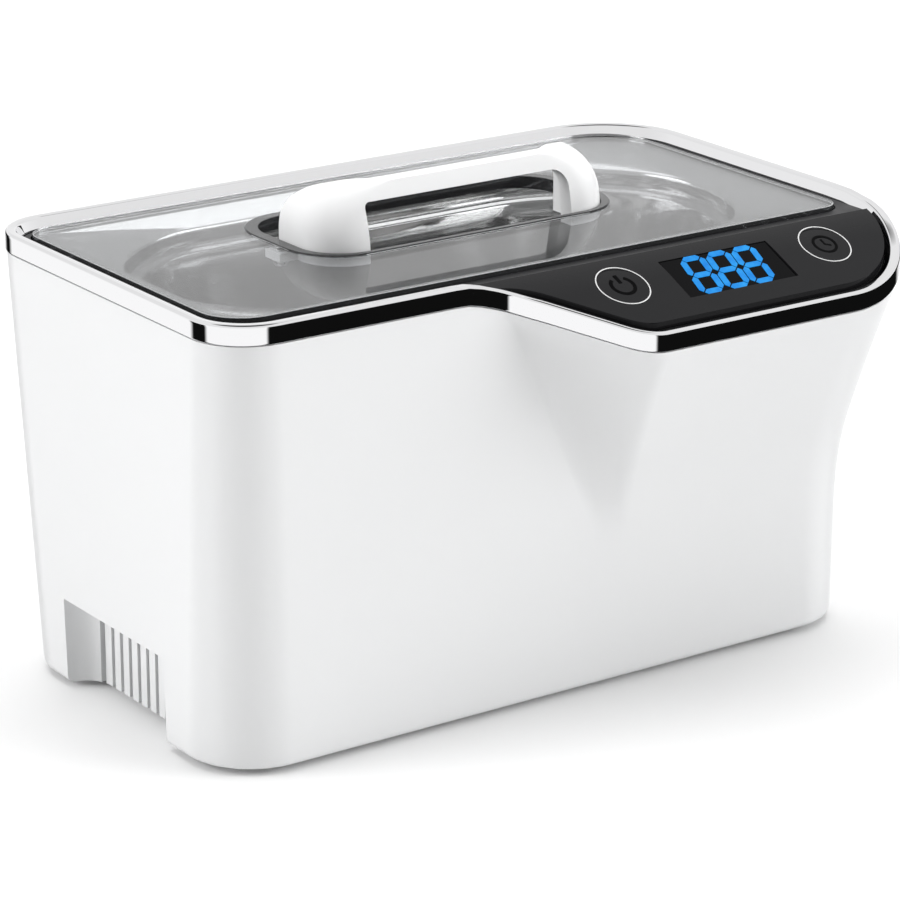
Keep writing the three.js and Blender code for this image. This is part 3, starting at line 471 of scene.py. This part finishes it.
def shell_rings(thickness):
    """Levels of the shell from the base to the top, moved inwards by thickness."""
    heights = [0.0, 0.25, 0.7, 1.3, 2.0] + [4 + 6 * i for i in range(5)]
    heights += [BLEND_LOW + 2 * i for i in range(16)] + [68 + 5 * i for i in range(9)] + [SHELL_TOP]
    rings = []
    for z in heights:
        below = EDGE_RADIUS - min(z, EDGE_RADIUS)
        edge = EDGE_RADIUS - math.sqrt(EDGE_RADIUS ** 2 - below ** 2) if not thickness else 0
        if z < SHELL_TOP:
            outline = inset(body_outline(z / RIM, pod_reach(z)), thickness + edge)
        else:
            outline = inset(RIM_LINE, TOP_INSET + thickness)
        # each level sinks with the rim's slope, all of it at the top and none below the pod
        sag = max(0.0, (z - BLEND_LOW) / (SHELL_TOP - BLEND_LOW)) ** 2
        rings.append([(a, b, z - sag * rim_drop(x, y)) for (a, b), (x, y) in zip(outline, RIM_LINE)])
    return rings


def pocket(name, side, extra, top):
    """Block of a side's finger recess, grown by extra; it runs well out past the side and the base."""
    y0, y1 = POCKET["y"] - POCKET["half"] - extra, POCKET["y"] + POCKET["half"] + extra
    x0, x1 = POCKET["inner"] - extra, HALF_LENGTH + 20
    if side < 0:
        x0, x1 = -x1, -x0
    return prism(name, rounded((x0, x1, y0, y1, (POCKET["radius"] + extra,) * 4), steps=10), -5, top)


def make_housing():
    shell = skin("housing_shell", shell_rings(0) + shell_rings(WALL)[::-1], closed=True)
    for side in (-1, 1):
        wall = pocket("pocket_wall", side, WALL, POCKET["top"] + WALL)
        # the recess walls end at the shell's outside
        keep = skin("envelope", [ring for ring in shell_rings(0) if ring[0][2] < 40])
        common(wall, keep)
        join(shell, wall)
    for side in (-1, 1):
        cut(shell, pocket("pocket_cut", side, 0, POCKET["top"]))
        for i in range(SLOTS):
            y = POCKET["y"] + PITCH * (i - (SLOTS - 1) / 2)
            x = side * (POCKET["inner"] - WALL / 2)
            cut(shell, slab("slot", x - WALL, x + WALL, y - SLOT_WIDTH / 2, y + SLOT_WIDTH / 2, -1, SLOT_TOP))
    # pad behind the back wall that the mains inlet sits in
    left, right, low, high = INLET
    join(shell, slab("boss", left - 4.5, right + 4.5, 53.5, 56.5, low - 4, high + 4))
    cut(shell, slab("inlet_hole", left, right, 40, 65, low, high))
    soften(shell, 0.35, 2, 50, 38)
    return finish_piece(shell, WHITE, "cleaner", "white_plastic", "housing")


make_housing()


# ------------------------------------------------------------------ chrome rim
def make_trim():
    # flat outer face, rounded shoulder, crest, and an inner face that slopes down to the frame
    section = [(0, -TRIM_HEIGHT + 0.2), (0, -TRIM_HEIGHT + 0.4), (0, -1.2)] + arc(0.9, -0.9, 0.9, 180, 90, 7)
    section += [(1.2, -0.01), (TRIM_WIDTH - 1.7, -0.07), (TRIM_WIDTH - 1.4, -0.12),
                (TRIM_WIDTH - 1.15, -0.45), (TRIM_WIDTH - 1.05, -0.7), (TRIM_WIDTH - 0.1, -2.75),
                (TRIM_WIDTH, -3.0), (TRIM_WIDTH, -3.3), (TRIM_WIDTH, -TRIM_HEIGHT + 0.2),
                (TRIM_WIDTH - 0.2, -TRIM_HEIGHT), (0.2, -TRIM_HEIGHT)]
    rings = []
    for depth, height in section:
        path = inset(RIM_LINE, depth)
        rings.append([(a, b, RIM + height - rim_drop(x, y)) for (a, b), (x, y) in zip(path, RIM_LINE)])
    trim = skin("rim_trim", rings, closed=True)
    soften(trim, 0, shade=60)
    return finish_piece(trim, CHROME, "cleaner", "chrome", "chrome_trim")


make_trim()


# ------------------------------------------------------------------ frame under the rim
def sloped(back, front, top, bottom, steps=30):
    """Profile of (y, z) of a layer that follows the pod's slope, top and bottom measured down from the rim."""
    ys = [back + (front - back) * i / steps for i in range(steps + 1)]
    return ([(y, RIM - bottom - drop(y)) for y in ys] + [(y, RIM - top - drop(y)) for y in reversed(ys)])


PANEL_BACK, PANEL_TOP, PANEL_BOTTOM = -53.0, 0.6, 2.4
POD_FRONT = -HALF_DEPTH - POD_DEPTH
FRAME_BOTTOM = SEAT_TOP - 2
LID_ROOM, SEAT_WIDTH = 0.6, 3.6                 # gap round the lid, and the ledge under its edge


def make_frame():
    region = inset(RIM_LINE, TRIM_WIDTH + GAP)
    deck = PANEL_BOTTOM + GAP
    ledge = slab("upper_frame", -HALF_LENGTH, HALF_LENGTH, PANEL_BACK + 1, HALF_DEPTH,
                 FRAME_BOTTOM, LEDGE_TOP)
    join(ledge, slab("front", -HALF_LENGTH, POD_START + 4, -HALF_DEPTH, PANEL_BACK + 2,
                     FRAME_BOTTOM, LEDGE_TOP),
         bar("pod", sloped(PANEL_BACK + 2, POD_FRONT, deck, deck + 2.5), POD_START - 4, HALF_LENGTH))
    common(ledge, prism("region", region, 80, RIM))
    cut(ledge, prism("lid_pocket", rounded(LID, LID_ROOM), SEAT_TOP, RIM + 5),
        prism("opening", rounded(LID, -SEAT_WIDTH), FRAME_BOTTOM - 5, RIM),
        slab("display_opening", 5, 82, -73, -56.5, 80, RIM))
    room = bar("room", sloped(PANEL_BACK + GAP, POD_FRONT, -10, deck), POD_START - 8, HALF_LENGTH)
    cut(ledge, room)
    soften(ledge, 0.3, 2, 50, 40)
    return finish_piece(ledge, BLACK, "cleaner", "black_plastic", "top_frame")


make_frame()


# ------------------------------------------------------------------ control panel, display and printing
ANGLE = math.atan(SLOPE)
PANEL_Z = RIM - PANEL_TOP - drop(DISPLAY[1])
ON_PANEL = Matrix.Translation((DISPLAY[0], DISPLAY[1], PANEL_Z)) @ Matrix.Rotation(ANGLE, 4, "X")


def on_panel(points):
    """Points given along, up and out of the panel, from the display's middle, as design points."""
    return [tuple(ON_PANEL @ Vector(p)) for p in points]


def panel_prism(name, outline, low, high):
    return skin(name, [on_panel(level(outline, low)), on_panel(level(outline, high))])


WINDOW = [(-17.7, -7.6), (17.7, -7.6), (17.7, 7.6), (-17.7, 7.6)]


def make_panel():
    layer = bar("touch_overlay", sloped(PANEL_BACK, POD_FRONT, PANEL_TOP, PANEL_BOTTOM),
                POD_START - 6, HALF_LENGTH)
    common(layer, prism("region", inset(RIM_LINE, TRIM_WIDTH + GAP), 80, RIM))
    cut(layer, panel_prism("window", WINDOW, -5, 5))
    soften(layer, 0.3, 2, 50, 30)
    finish_piece(layer, PANEL, "cleaner", "gloss_black", "control_panel")
    # the pane is a little smaller than its opening and lies just under the panel's face
    pane = panel_prism("display_pane", [(x * 0.983, y * 0.96) for x, y in WINDOW], -1.5, -0.35)
    soften(pane, 0.12, 2)
    finish_piece(pane, DISPLAY_GLASS, "cleaner", "display_glass", "display_window")


make_panel()


def segment(x0, y0, x1, y1, width):
    """One display segment: a bar with pointed ends."""
    along = Vector((x1 - x0, y1 - y0)).normalized()
    across = Vector((-along.y, along.x)) * width / 2
    a, b = Vector((x0, y0)), Vector((x1, y1))
    tip = along * width / 2
    return [tuple(p) for p in (a, a + tip - across, b - tip - across, b, b - tip + across, a + tip + across)]


def make_digits():
    height, width, stroke, gap = 13.0, 6.1, 1.85, 0.25
    lean, spacing, shift = 0.13, 8.35, -0.2
    back, front = -0.34, -0.2                   # of the lit bars, under the panel's face
    faces, points = [], []
    for k in (-1, 0, 1):
        x, y = k * spacing - width / 2 + shift, -height / 2
        half = height / 2
        ends = [((0, 0), (width, 0)), ((0, half), (width, half)), ((0, height), (width, height)),
                ((0, 0), (0, half)), ((0, half), (0, height)), ((width, 0), (width, half)),
                ((width, half), (width, height))]
        for (ax, ay), (bx, by) in ends:
            along = Vector((bx - ax, by - ay)).normalized() * gap
            shape = segment(ax + along.x, ay + along.y, bx - along.x, by - along.y, stroke)
            shape = [(x + px + (py - half) * lean, y + py) for px, py in shape]
            base = len(points)
            count = len(shape)
            points += on_panel(level(shape, back)) + on_panel(level(shape, front))
            faces.append(tuple(base + i for i in reversed(range(count))))
            faces.append(tuple(base + count + i for i in range(count)))
            for i in range(count):
                j = (i + 1) % count
                faces.append((base + i, base + j, base + count + j, base + count + i))
    digits = new_object("display_digits", points, faces)
    return finish_piece(digits, BLUE, "cleaner", "display_glass")


make_digits()


PRINT_HEIGHT = 0.06


def flat_strip(name, loops, look):
    """Thin printed shapes on the panel, each (points of the centre line, half width, whether it closes)."""
    low, high = 0.0, PRINT_HEIGHT
    points, faces = [], []
    for line, half_width, closed in loops:
        count = len(line)
        base = len(points)
        sides = []
        for i, (x, y) in enumerate(line):
            a = Vector(line[i - 1] if (i or closed) else line[i])
            b = Vector(line[(i + 1) % count] if (i + 1 < count or closed) else line[i])
            along = (b - a).normalized()
            across = Vector((-along.y, along.x)) * half_width
            sides.append(((x + across.x, y + across.y), (x - across.x, y - across.y)))
        for (lx, ly), (rx, ry) in sides:
            points += on_panel([(lx, ly, low), (lx, ly, high), (rx, ry, high), (rx, ry, low)])
        spans = count if closed else count - 1
        for i in range(spans):
            j = (i + 1) % count
            for k in range(4):
                m = (k + 1) % 4
                faces.append((base + 4 * i + k, base + 4 * i + m, base + 4 * j + m, base + 4 * j + k))
        if not closed:
            faces.append(tuple(base + k for k in (3, 2, 1, 0)))
            faces.append(tuple(base + 4 * (count - 1) + k for k in range(4)))
    strip = new_object(name, points, faces)
    return finish_piece(strip, look, "cleaner", "gloss_black")


def circle(cx, cy, radius, start=0, stop=360, steps=96):
    line = arc(cx, cy, radius, start, stop, steps)
    return line[:-1] if stop - start == 360 else line


# middles of the two touch controls on the panel, and the radii of their ring and sign
POWER, CLOCK = (-33.1, 1.4), (33.5, 1.8)
RING_RADIUS, SIGN_RADIUS = 7.2, 3.2
POWER_STROKE = [(POWER[0], POWER[1] + 1.0), (POWER[0], POWER[1] + 4.2)]
CLOCK_HANDS = [(CLOCK[0], CLOCK[1] + 2.0), (CLOCK[0], CLOCK[1]), (CLOCK[0] + 1.6, CLOCK[1] - 0.9)]
flat_strip("sensor_rings", [(circle(*POWER, RING_RADIUS), 0.16, True),
                            (circle(*CLOCK, RING_RADIUS), 0.16, True)], INK)
flat_strip("sensor_icons", [(circle(*POWER, SIGN_RADIUS, -235, 55), 0.5, False), (POWER_STROKE, 0.5, False),
                            (circle(*CLOCK, SIGN_RADIUS), 0.4, True), (CLOCK_HANDS, 0.32, False)], DARK_INK)


# ------------------------------------------------------------------ tank
BASIN = dict(half_length=88.5, half_depth=41.8, radius=41, draft=7.0, floor_radius=12)
MOUTH_ROLL = 1.6                                # radius of the rolled edge


def basin(extra, steps=24):
    """Levels of the basin's inside from the floor to the mouth, all of them grown by extra."""
    rings = []

    def ring(shrink, z):
        by = extra - shrink
        shape = (-BASIN["half_length"] - by, BASIN["half_length"] + by, LID_Y - BASIN["half_depth"] - by,
                 LID_Y + BASIN["half_depth"] + by, (BASIN["radius"] + by,) * 4)
        rings.append(level(rounded(shape, steps=steps), z))

    draft, floor, corner = BASIN["draft"], TANK_FLOOR - extra, BASIN["floor_radius"] + extra
    for i in range(9, 0, -1):
        a = math.pi / 2 * i / 9
        ring(draft + corner * (1 - math.cos(a)), floor + corner * (1 - math.sin(a)))
    low, high = floor + corner, MOUTH_TOP - STEP_DEPTH - MOUTH_ROLL
    for i in range(5):
        ring(draft + (STEP_WIDTH + 1 - draft) * i / 4, low + (high - low) * i / 4)
    for shrink, below in ((STEP_WIDTH + 0.75, 1.1), (STEP_WIDTH + 0.3, 0.7), (1.2, 0.25), (0.7, -0.05),
                          (0.45, -0.6)):
        ring(shrink, MOUTH_TOP - STEP_DEPTH - below)
    for i in range(7):
        # rolled edge between the wall and the sloping flange
        a = math.radians(70) * i / 6
        ring(0.3 - MOUTH_ROLL * (1 - math.cos(a)), MOUTH_TOP - extra - MOUTH_ROLL * (1 - math.sin(a)))
    return rings


def make_tank():
    def seat(inwards, z):
        return level(rounded(LID, -inwards, 24), z)

    inner_seat = FLANGE_SEAT + SHEET / 2
    tank = skin("basin", basin(SHEET) + [seat(FLANGE_SEAT, FLANGE_TOP - SHEET / 2)])
    join(tank, prism("flange", rounded(LID, GAP, 24), FLANGE_TOP - SHEET, FLANGE_TOP))
    cut(tank, skin("inside", basin(0) + [seat(inner_seat, FLANGE_TOP), seat(inner_seat, FLANGE_TOP + 2)]))
    soften(tank, 0, shade=28)
    finish_piece(tank, (STEEL, SHADED_BASIN_STEEL), "cleaner", "steel", "tank")
    for face in tank.data.polygons:
        # painted shade: the drawn basin gets a darker copy of the steel than the flange and the rolled edge
        # round it
        face.material_index = 1 if face.center.z < place(0, 0, MOUTH_TOP - 2).z else 0
    return tank


make_tank()


# ------------------------------------------------------------------ lid and handle
LIP = (HOLE[0] - 3.2, HOLE[1] + 3.2, HOLE[2] - 1.6, HOLE[3] + 3.5, (15.6,) * 4)
LIP_HEIGHT = 0.4
SCREW_X, SCREW_Y, SCREW_HOLE = 49.3, 3, 1.3     # the handle's two screws and the radius of their holes


def screw_hole(low, high, x):
    return turned("screw_hole", [(0, low), (SCREW_HOLE, low), (SCREW_HOLE, high), (0, high)], x, SCREW_Y, 24)


def make_lid():
    plate = prism("smoked_cover", rounded(LID, steps=20), LID_BOTTOM, LID_TOP)
    join(plate, prism("lip", rounded(LIP, 0, 20), LID_TOP - 1, LID_TOP + LIP_HEIGHT))
    cut(plate, prism("hole", rounded(HOLE, 0, 20), LID_BOTTOM - 1, LID_TOP + 5))
    for side in (-1, 1):
        cut(plate, screw_hole(LID_BOTTOM - 1, LID_BOTTOM + 3, side * SCREW_X))
    soften(plate, 0.3, 2, 50, 40)
    finish_piece(plate, [SMOKE, SMOKE_THICK_AND_SHADE, EDGE_HIGHLIGHT], "lid_assembly", "smoke_glass", "lid")
    low, high = place(LIP[0] - 0.05, LIP[2] - 0.05, 0), place(LIP[1] + 0.05, LIP[3] + 0.05, 0)
    for face in plate.data.polygons:
        x, y, z = face.center
        upright = abs(face.normal.z)
        if low.x < x < high.x and low.y < y < high.y:
            # the moulded frame round the hole is darker, partly as thicker smoke plastic and partly painted
            # shade; the hole's walls get painted shade
            face.material_index = 1 if z > place(0, 0, LID_TOP + 0.02).z or upright < 0.9 else 0
        elif upright < 0.97:
            # the rounded edges get the painted highlight, the upright side faces painted shade
            face.material_index = 2 if upright > 0.1 else 1
    return plate


make_lid()

GRIP = dict(wall=4.8, corner=12.0, height=16.5, end=13.0, lean=4.5, back=8.2, skirt=LID_BOTTOM - 2.5)
# opening under the grip: left, right, height above the lid, radius at the left and at the right
ARCH = (-33, 31, 12.2, 1.5, 5)


def grip_rings(wall):
    def ring(height, z):
        curve = max(0.0, height - GRIP["height"] + GRIP["end"])
        side = GAP + wall + GRIP["end"] - math.sqrt(max(0.0, GRIP["end"] ** 2 - curve ** 2))
        front = GAP + wall + GRIP["lean"] * (max(0.0, height) / GRIP["height"]) ** 1.5
        shape = (HOLE[0] + side, HOLE[1] - side, HOLE[2] + front, 60.0, (GRIP["corner"] - wall,) * 4)
        return level(rounded(shape, steps=16), z)

    rings = [ring(0, GRIP["skirt"] - (1 if wall else 0))]
    count = 22
    # the rings stop just short of the full height, where the curve of the two ends turns flat
    for i in range(count):
        height = 16.42 * math.sin(math.pi / 2 * i / (count - 1)) if i else 0.0
        rings.append(ring(height, LID_TOP + height))
    rings.append(ring(16.45, LID_TOP + GRIP["height"] + (1 if wall else 0)))
    return rings


def make_grip():
    crest = LID_TOP + GRIP["height"]
    low, back = GRIP["skirt"] - 5, GRIP["back"]
    deep, wide_fall, high_fall = 9.5, 12.7, 9.3
    fall = [(back, crest - deep)]
    for i in range(1, 13):
        # quarter of an ellipse from the open back up to the crest
        a = math.pi / 2 * i / 12
        fall.append((back - wide_fall * (1 - math.cos(a)), crest - deep + high_fall * math.sin(a)))
    side = bar("side", [(-20, low), (back, low)] + fall + [(-8, crest + 1), (-20, crest + 1)], -105, 105)
    grip = skin("hand_grip", grip_rings(0))
    cut(grip, skin("hollow", grip_rings(GRIP["wall"])))
    common(grip, side)
    left, right, top, tight, wide = ARCH
    arch = arc(right - wide, LID_TOP + top - wide, wide, 0, 90, 10)
    arch += arc(left + tight, LID_TOP + top - tight, tight, 90, 180, 5) + [(left, low), (right, low)]
    cut(grip, skin("arch", [[(x, -3.0, z) for x, z in arch], [(x, -21.0, z) for x, z in arch]]))
    for end in (-1, 1):
        # tab under the lid that takes the screw
        near, far = sorted((end * 43.7, end * (SCREW_X + 2.4)))
        tab = slab("tab", near, far, -0.5, 6.5, GRIP["skirt"], LID_BOTTOM - GAP)
        join(grip, tab)
        cut(grip, screw_hole(100, 115, end * SCREW_X))
    soften(grip, 0.8, 4, 40, 45)
    return finish_piece(grip, LIT_HANDLE_WHITE, "lid_assembly", "white_plastic", "lid_handle")


make_grip()

# ------------------------------------------------------------------ CAD nodes that stay, with their finish
FINISHES = [
    (WHITE, "base_cover"),
    (RUBBER, "tank_gasket foot_1 foot_2 foot_3 foot_4"),
    (BLACK, "display_module transistor_1 transistor_2 power_inlet"),
    (BOARD, "control_board main_board"),
    (ALUMINIUM, "transducer_front_mass heat_sink"),
    (CERAMIC, "piezo_ring_upper piezo_ring_lower"),
    (BRASS, "electrode_upper electrode_lower inlet_pin_1 inlet_pin_2"),
    (FERRITE, "transformer_core"),
    (COPPER, "transformer_winding choke"),
    (CAPACITOR, "filter_capacitor"),
    (FUSE_GLASS, "mains_fuse"),
    (LEAD, "inlet_lead_1 inlet_lead_2 transducer_lead_1 transducer_lead_2 panel_cable"),
    (SCREW, "touch_spring_power touch_spring_time transducer_back_mass transducer_bolt"),
    (SCREW, "handle_screw_1 handle_screw_2 base_screw_1 base_screw_2 base_screw_3 base_screw_4"),
    (SCREW, "board_screw_1 board_screw_2 board_screw_3 board_screw_4"),
]
for look, names in FINISHES:
    for name in names.split():
        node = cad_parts[name]
        node.data.materials.clear()
        node.data.materials.append(look)


# ------------------------------------------------------------------ studio
def make_floor():
    mesh = bpy.data.meshes.new("floor")
    size = 12.0
    corners = [(-size, -size, 0), (size, -size, 0), (size, size, 0), (-size, size, 0)]
    mesh.from_pydata(corners, [], [(0, 1, 2, 3)])
    floor = bpy.data.objects.new("floor", mesh)
    bpy.context.scene.collection.objects.link(floor)
    pale = material("floor_pale", (0.93, 0.93, 0.93), 0.9)
    vary_roughness(pale, 0.85, 0.95, 3)
    floor.data.materials.append(pale)
    floor.visible_glossy = False


make_floor()


def sun(name, azimuth, elevation, strength, angle):
    """A broad soft light from a direction; azimuth 0 is +Y and 90 is +X."""
    light = bpy.data.lights.new(name, "SUN")
    light.energy = strength
    light.angle = math.radians(angle)
    obj = bpy.data.objects.new(name, light)
    a, e = math.radians(azimuth), math.radians(elevation)
    toward = Vector((math.sin(a) * math.cos(e), math.cos(a) * math.cos(e), math.sin(e)))
    obj.rotation_euler = toward.to_track_quat("Z", "Y").to_euler()
    obj.visible_glossy = False
    bpy.context.scene.collection.objects.link(obj)


sun("top_light", 30, 78, 2.35, 60)
sun("left_light", -66, 26, 2.0, 40)
sun("front_light", 128, 20, 2.5, 45)


def make_world():
    world = bpy.data.worlds.new("studio")
    bpy.context.scene.world = world
    world.use_nodes = True
    nodes, links = world.node_tree.nodes, world.node_tree.links
    nodes.clear()
    out = nodes.new("ShaderNodeOutputWorld")
    where = nodes.new("ShaderNodeTexCoord")
    split = nodes.new("ShaderNodeSeparateXYZ")
    links.new(where.outputs["Generated"], split.inputs["Vector"])

    def math_node(operation, a, b):
        node = nodes.new("ShaderNodeMath")
        node.operation = operation
        for socket, value in zip(node.inputs, (a, b)):
            if isinstance(value, (int, float)):
                socket.default_value = value
            else:
                links.new(value, socket)
        return node.outputs[0]

    # azimuth round the object in degrees, 0 at the front (-Y), growing towards the left (-X)
    azimuth = math_node("MULTIPLY", math_node("ARCTAN2", math_node("MULTIPLY", split.outputs["X"], -1.0),
                                              math_node("MULTIPLY", split.outputs["Y"], -1.0)), 180 / math.pi)
    shift = math_node("DIVIDE", math_node("ADD", azimuth, 180.0), 360.0)
    ramp = nodes.new("ShaderNodeValToRGB")
    ramp.color_ramp.interpolation = "LINEAR"
    dark = 0.005
    stops = [(-180, dark), (-160, 0.9), (-120, 0.9), (-110, dark), (-9, dark), (-4, 1.0), (102, 1.0),
             (108, dark), (136, dark), (143, 1.0), (157, 1.0), (165, dark), (180, dark)]
    elements = ramp.color_ramp.elements
    elements[0].position, elements[1].position = 0.0, 1.0
    for degrees, _ in stops[1:-1]:
        elements.new((degrees + 180) / 360)
    for element, (_, value) in zip(elements, stops):
        element.color = (value, value, value, 1)
    links.new(shift, ramp.inputs["Fac"])
    band = ramp.outputs["Color"]

    # above the horizon: bright low down, a little dimmer higher up, and dark straight overhead
    height = nodes.new("ShaderNodeMapRange")
    height.inputs["From Min"].default_value, height.inputs["From Max"].default_value = 0.0, 1.0
    links.new(split.outputs["Z"], height.inputs["Value"])
    upper = nodes.new("ShaderNodeValToRGB")
    upper_stops = [(0.0, 1.0), (0.3, 0.86), (0.45, 0.8), (0.84, 0.85), (0.91, 0.1), (1.0, 0.06)]
    for position, _ in upper_stops[1:-1]:
        upper.color_ramp.elements.new(position)
    for element, (position, value) in zip(upper.color_ramp.elements, upper_stops):
        element.position, element.color = position, (value, value, value, 1)
    links.new(height.outputs["Result"], upper.inputs["Fac"])

    band_top = 0.12                             # height where the dark and light band ends
    above = math_node("GREATER_THAN", split.outputs["Z"], band_top)
    mirror = nodes.new("ShaderNodeMix")
    mirror.data_type = "RGBA"
    links.new(above, mirror.inputs["Factor"])
    links.new(band, mirror.inputs["A"])
    links.new(upper.outputs["Color"], mirror.inputs["B"])

    # seen is what the camera sees, soft is what lights the scene, gloss is what shiny faces mirror
    path = nodes.new("ShaderNodeLightPath")
    seen = nodes.new("ShaderNodeBackground")
    seen.inputs["Color"].default_value = (1, 1, 1, 1)
    seen.inputs["Strength"].default_value = 1.05
    soft = nodes.new("ShaderNodeBackground")
    soft.inputs["Color"].default_value = (1, 1, 1, 1)
    soft.inputs["Strength"].default_value = 0.05
    gloss = nodes.new("ShaderNodeBackground")
    links.new(mirror.outputs["Result"], gloss.inputs["Color"])
    first = nodes.new("ShaderNodeMixShader")
    links.new(path.outputs["Is Glossy Ray"], first.inputs["Fac"])
    links.new(soft.outputs["Background"], first.inputs[1])
    links.new(gloss.outputs["Background"], first.inputs[2])
    second = nodes.new("ShaderNodeMixShader")
    links.new(path.outputs["Is Camera Ray"], second.inputs["Fac"])
    links.new(first.outputs["Shader"], second.inputs[1])
    links.new(seen.outputs["Background"], second.inputs[2])
    links.new(second.outputs["Shader"], out.inputs["Surface"])


make_world()


def make_camera():
    data = bpy.data.cameras.new("view")
    data.lens, data.sensor_width = 151.84, 36.0
    data.clip_start, data.clip_end = 0.05, 50
    camera = bpy.data.objects.new("view", data)
    camera.location = (-0.5502, -0.7847, 0.3838)
    azimuth, elevation = math.radians(34.75), math.radians(18.81)
    forward = Vector((math.sin(azimuth) * math.cos(elevation), math.cos(azimuth) * math.cos(elevation),
                      -math.sin(elevation)))
    camera.rotation_euler = forward.to_track_quat("-Z", "Y").to_euler()
    bpy.context.scene.collection.objects.link(camera)
    bpy.context.scene.camera = camera


make_camera()
bpy.context.scene.view_settings.view_transform = "Standard"
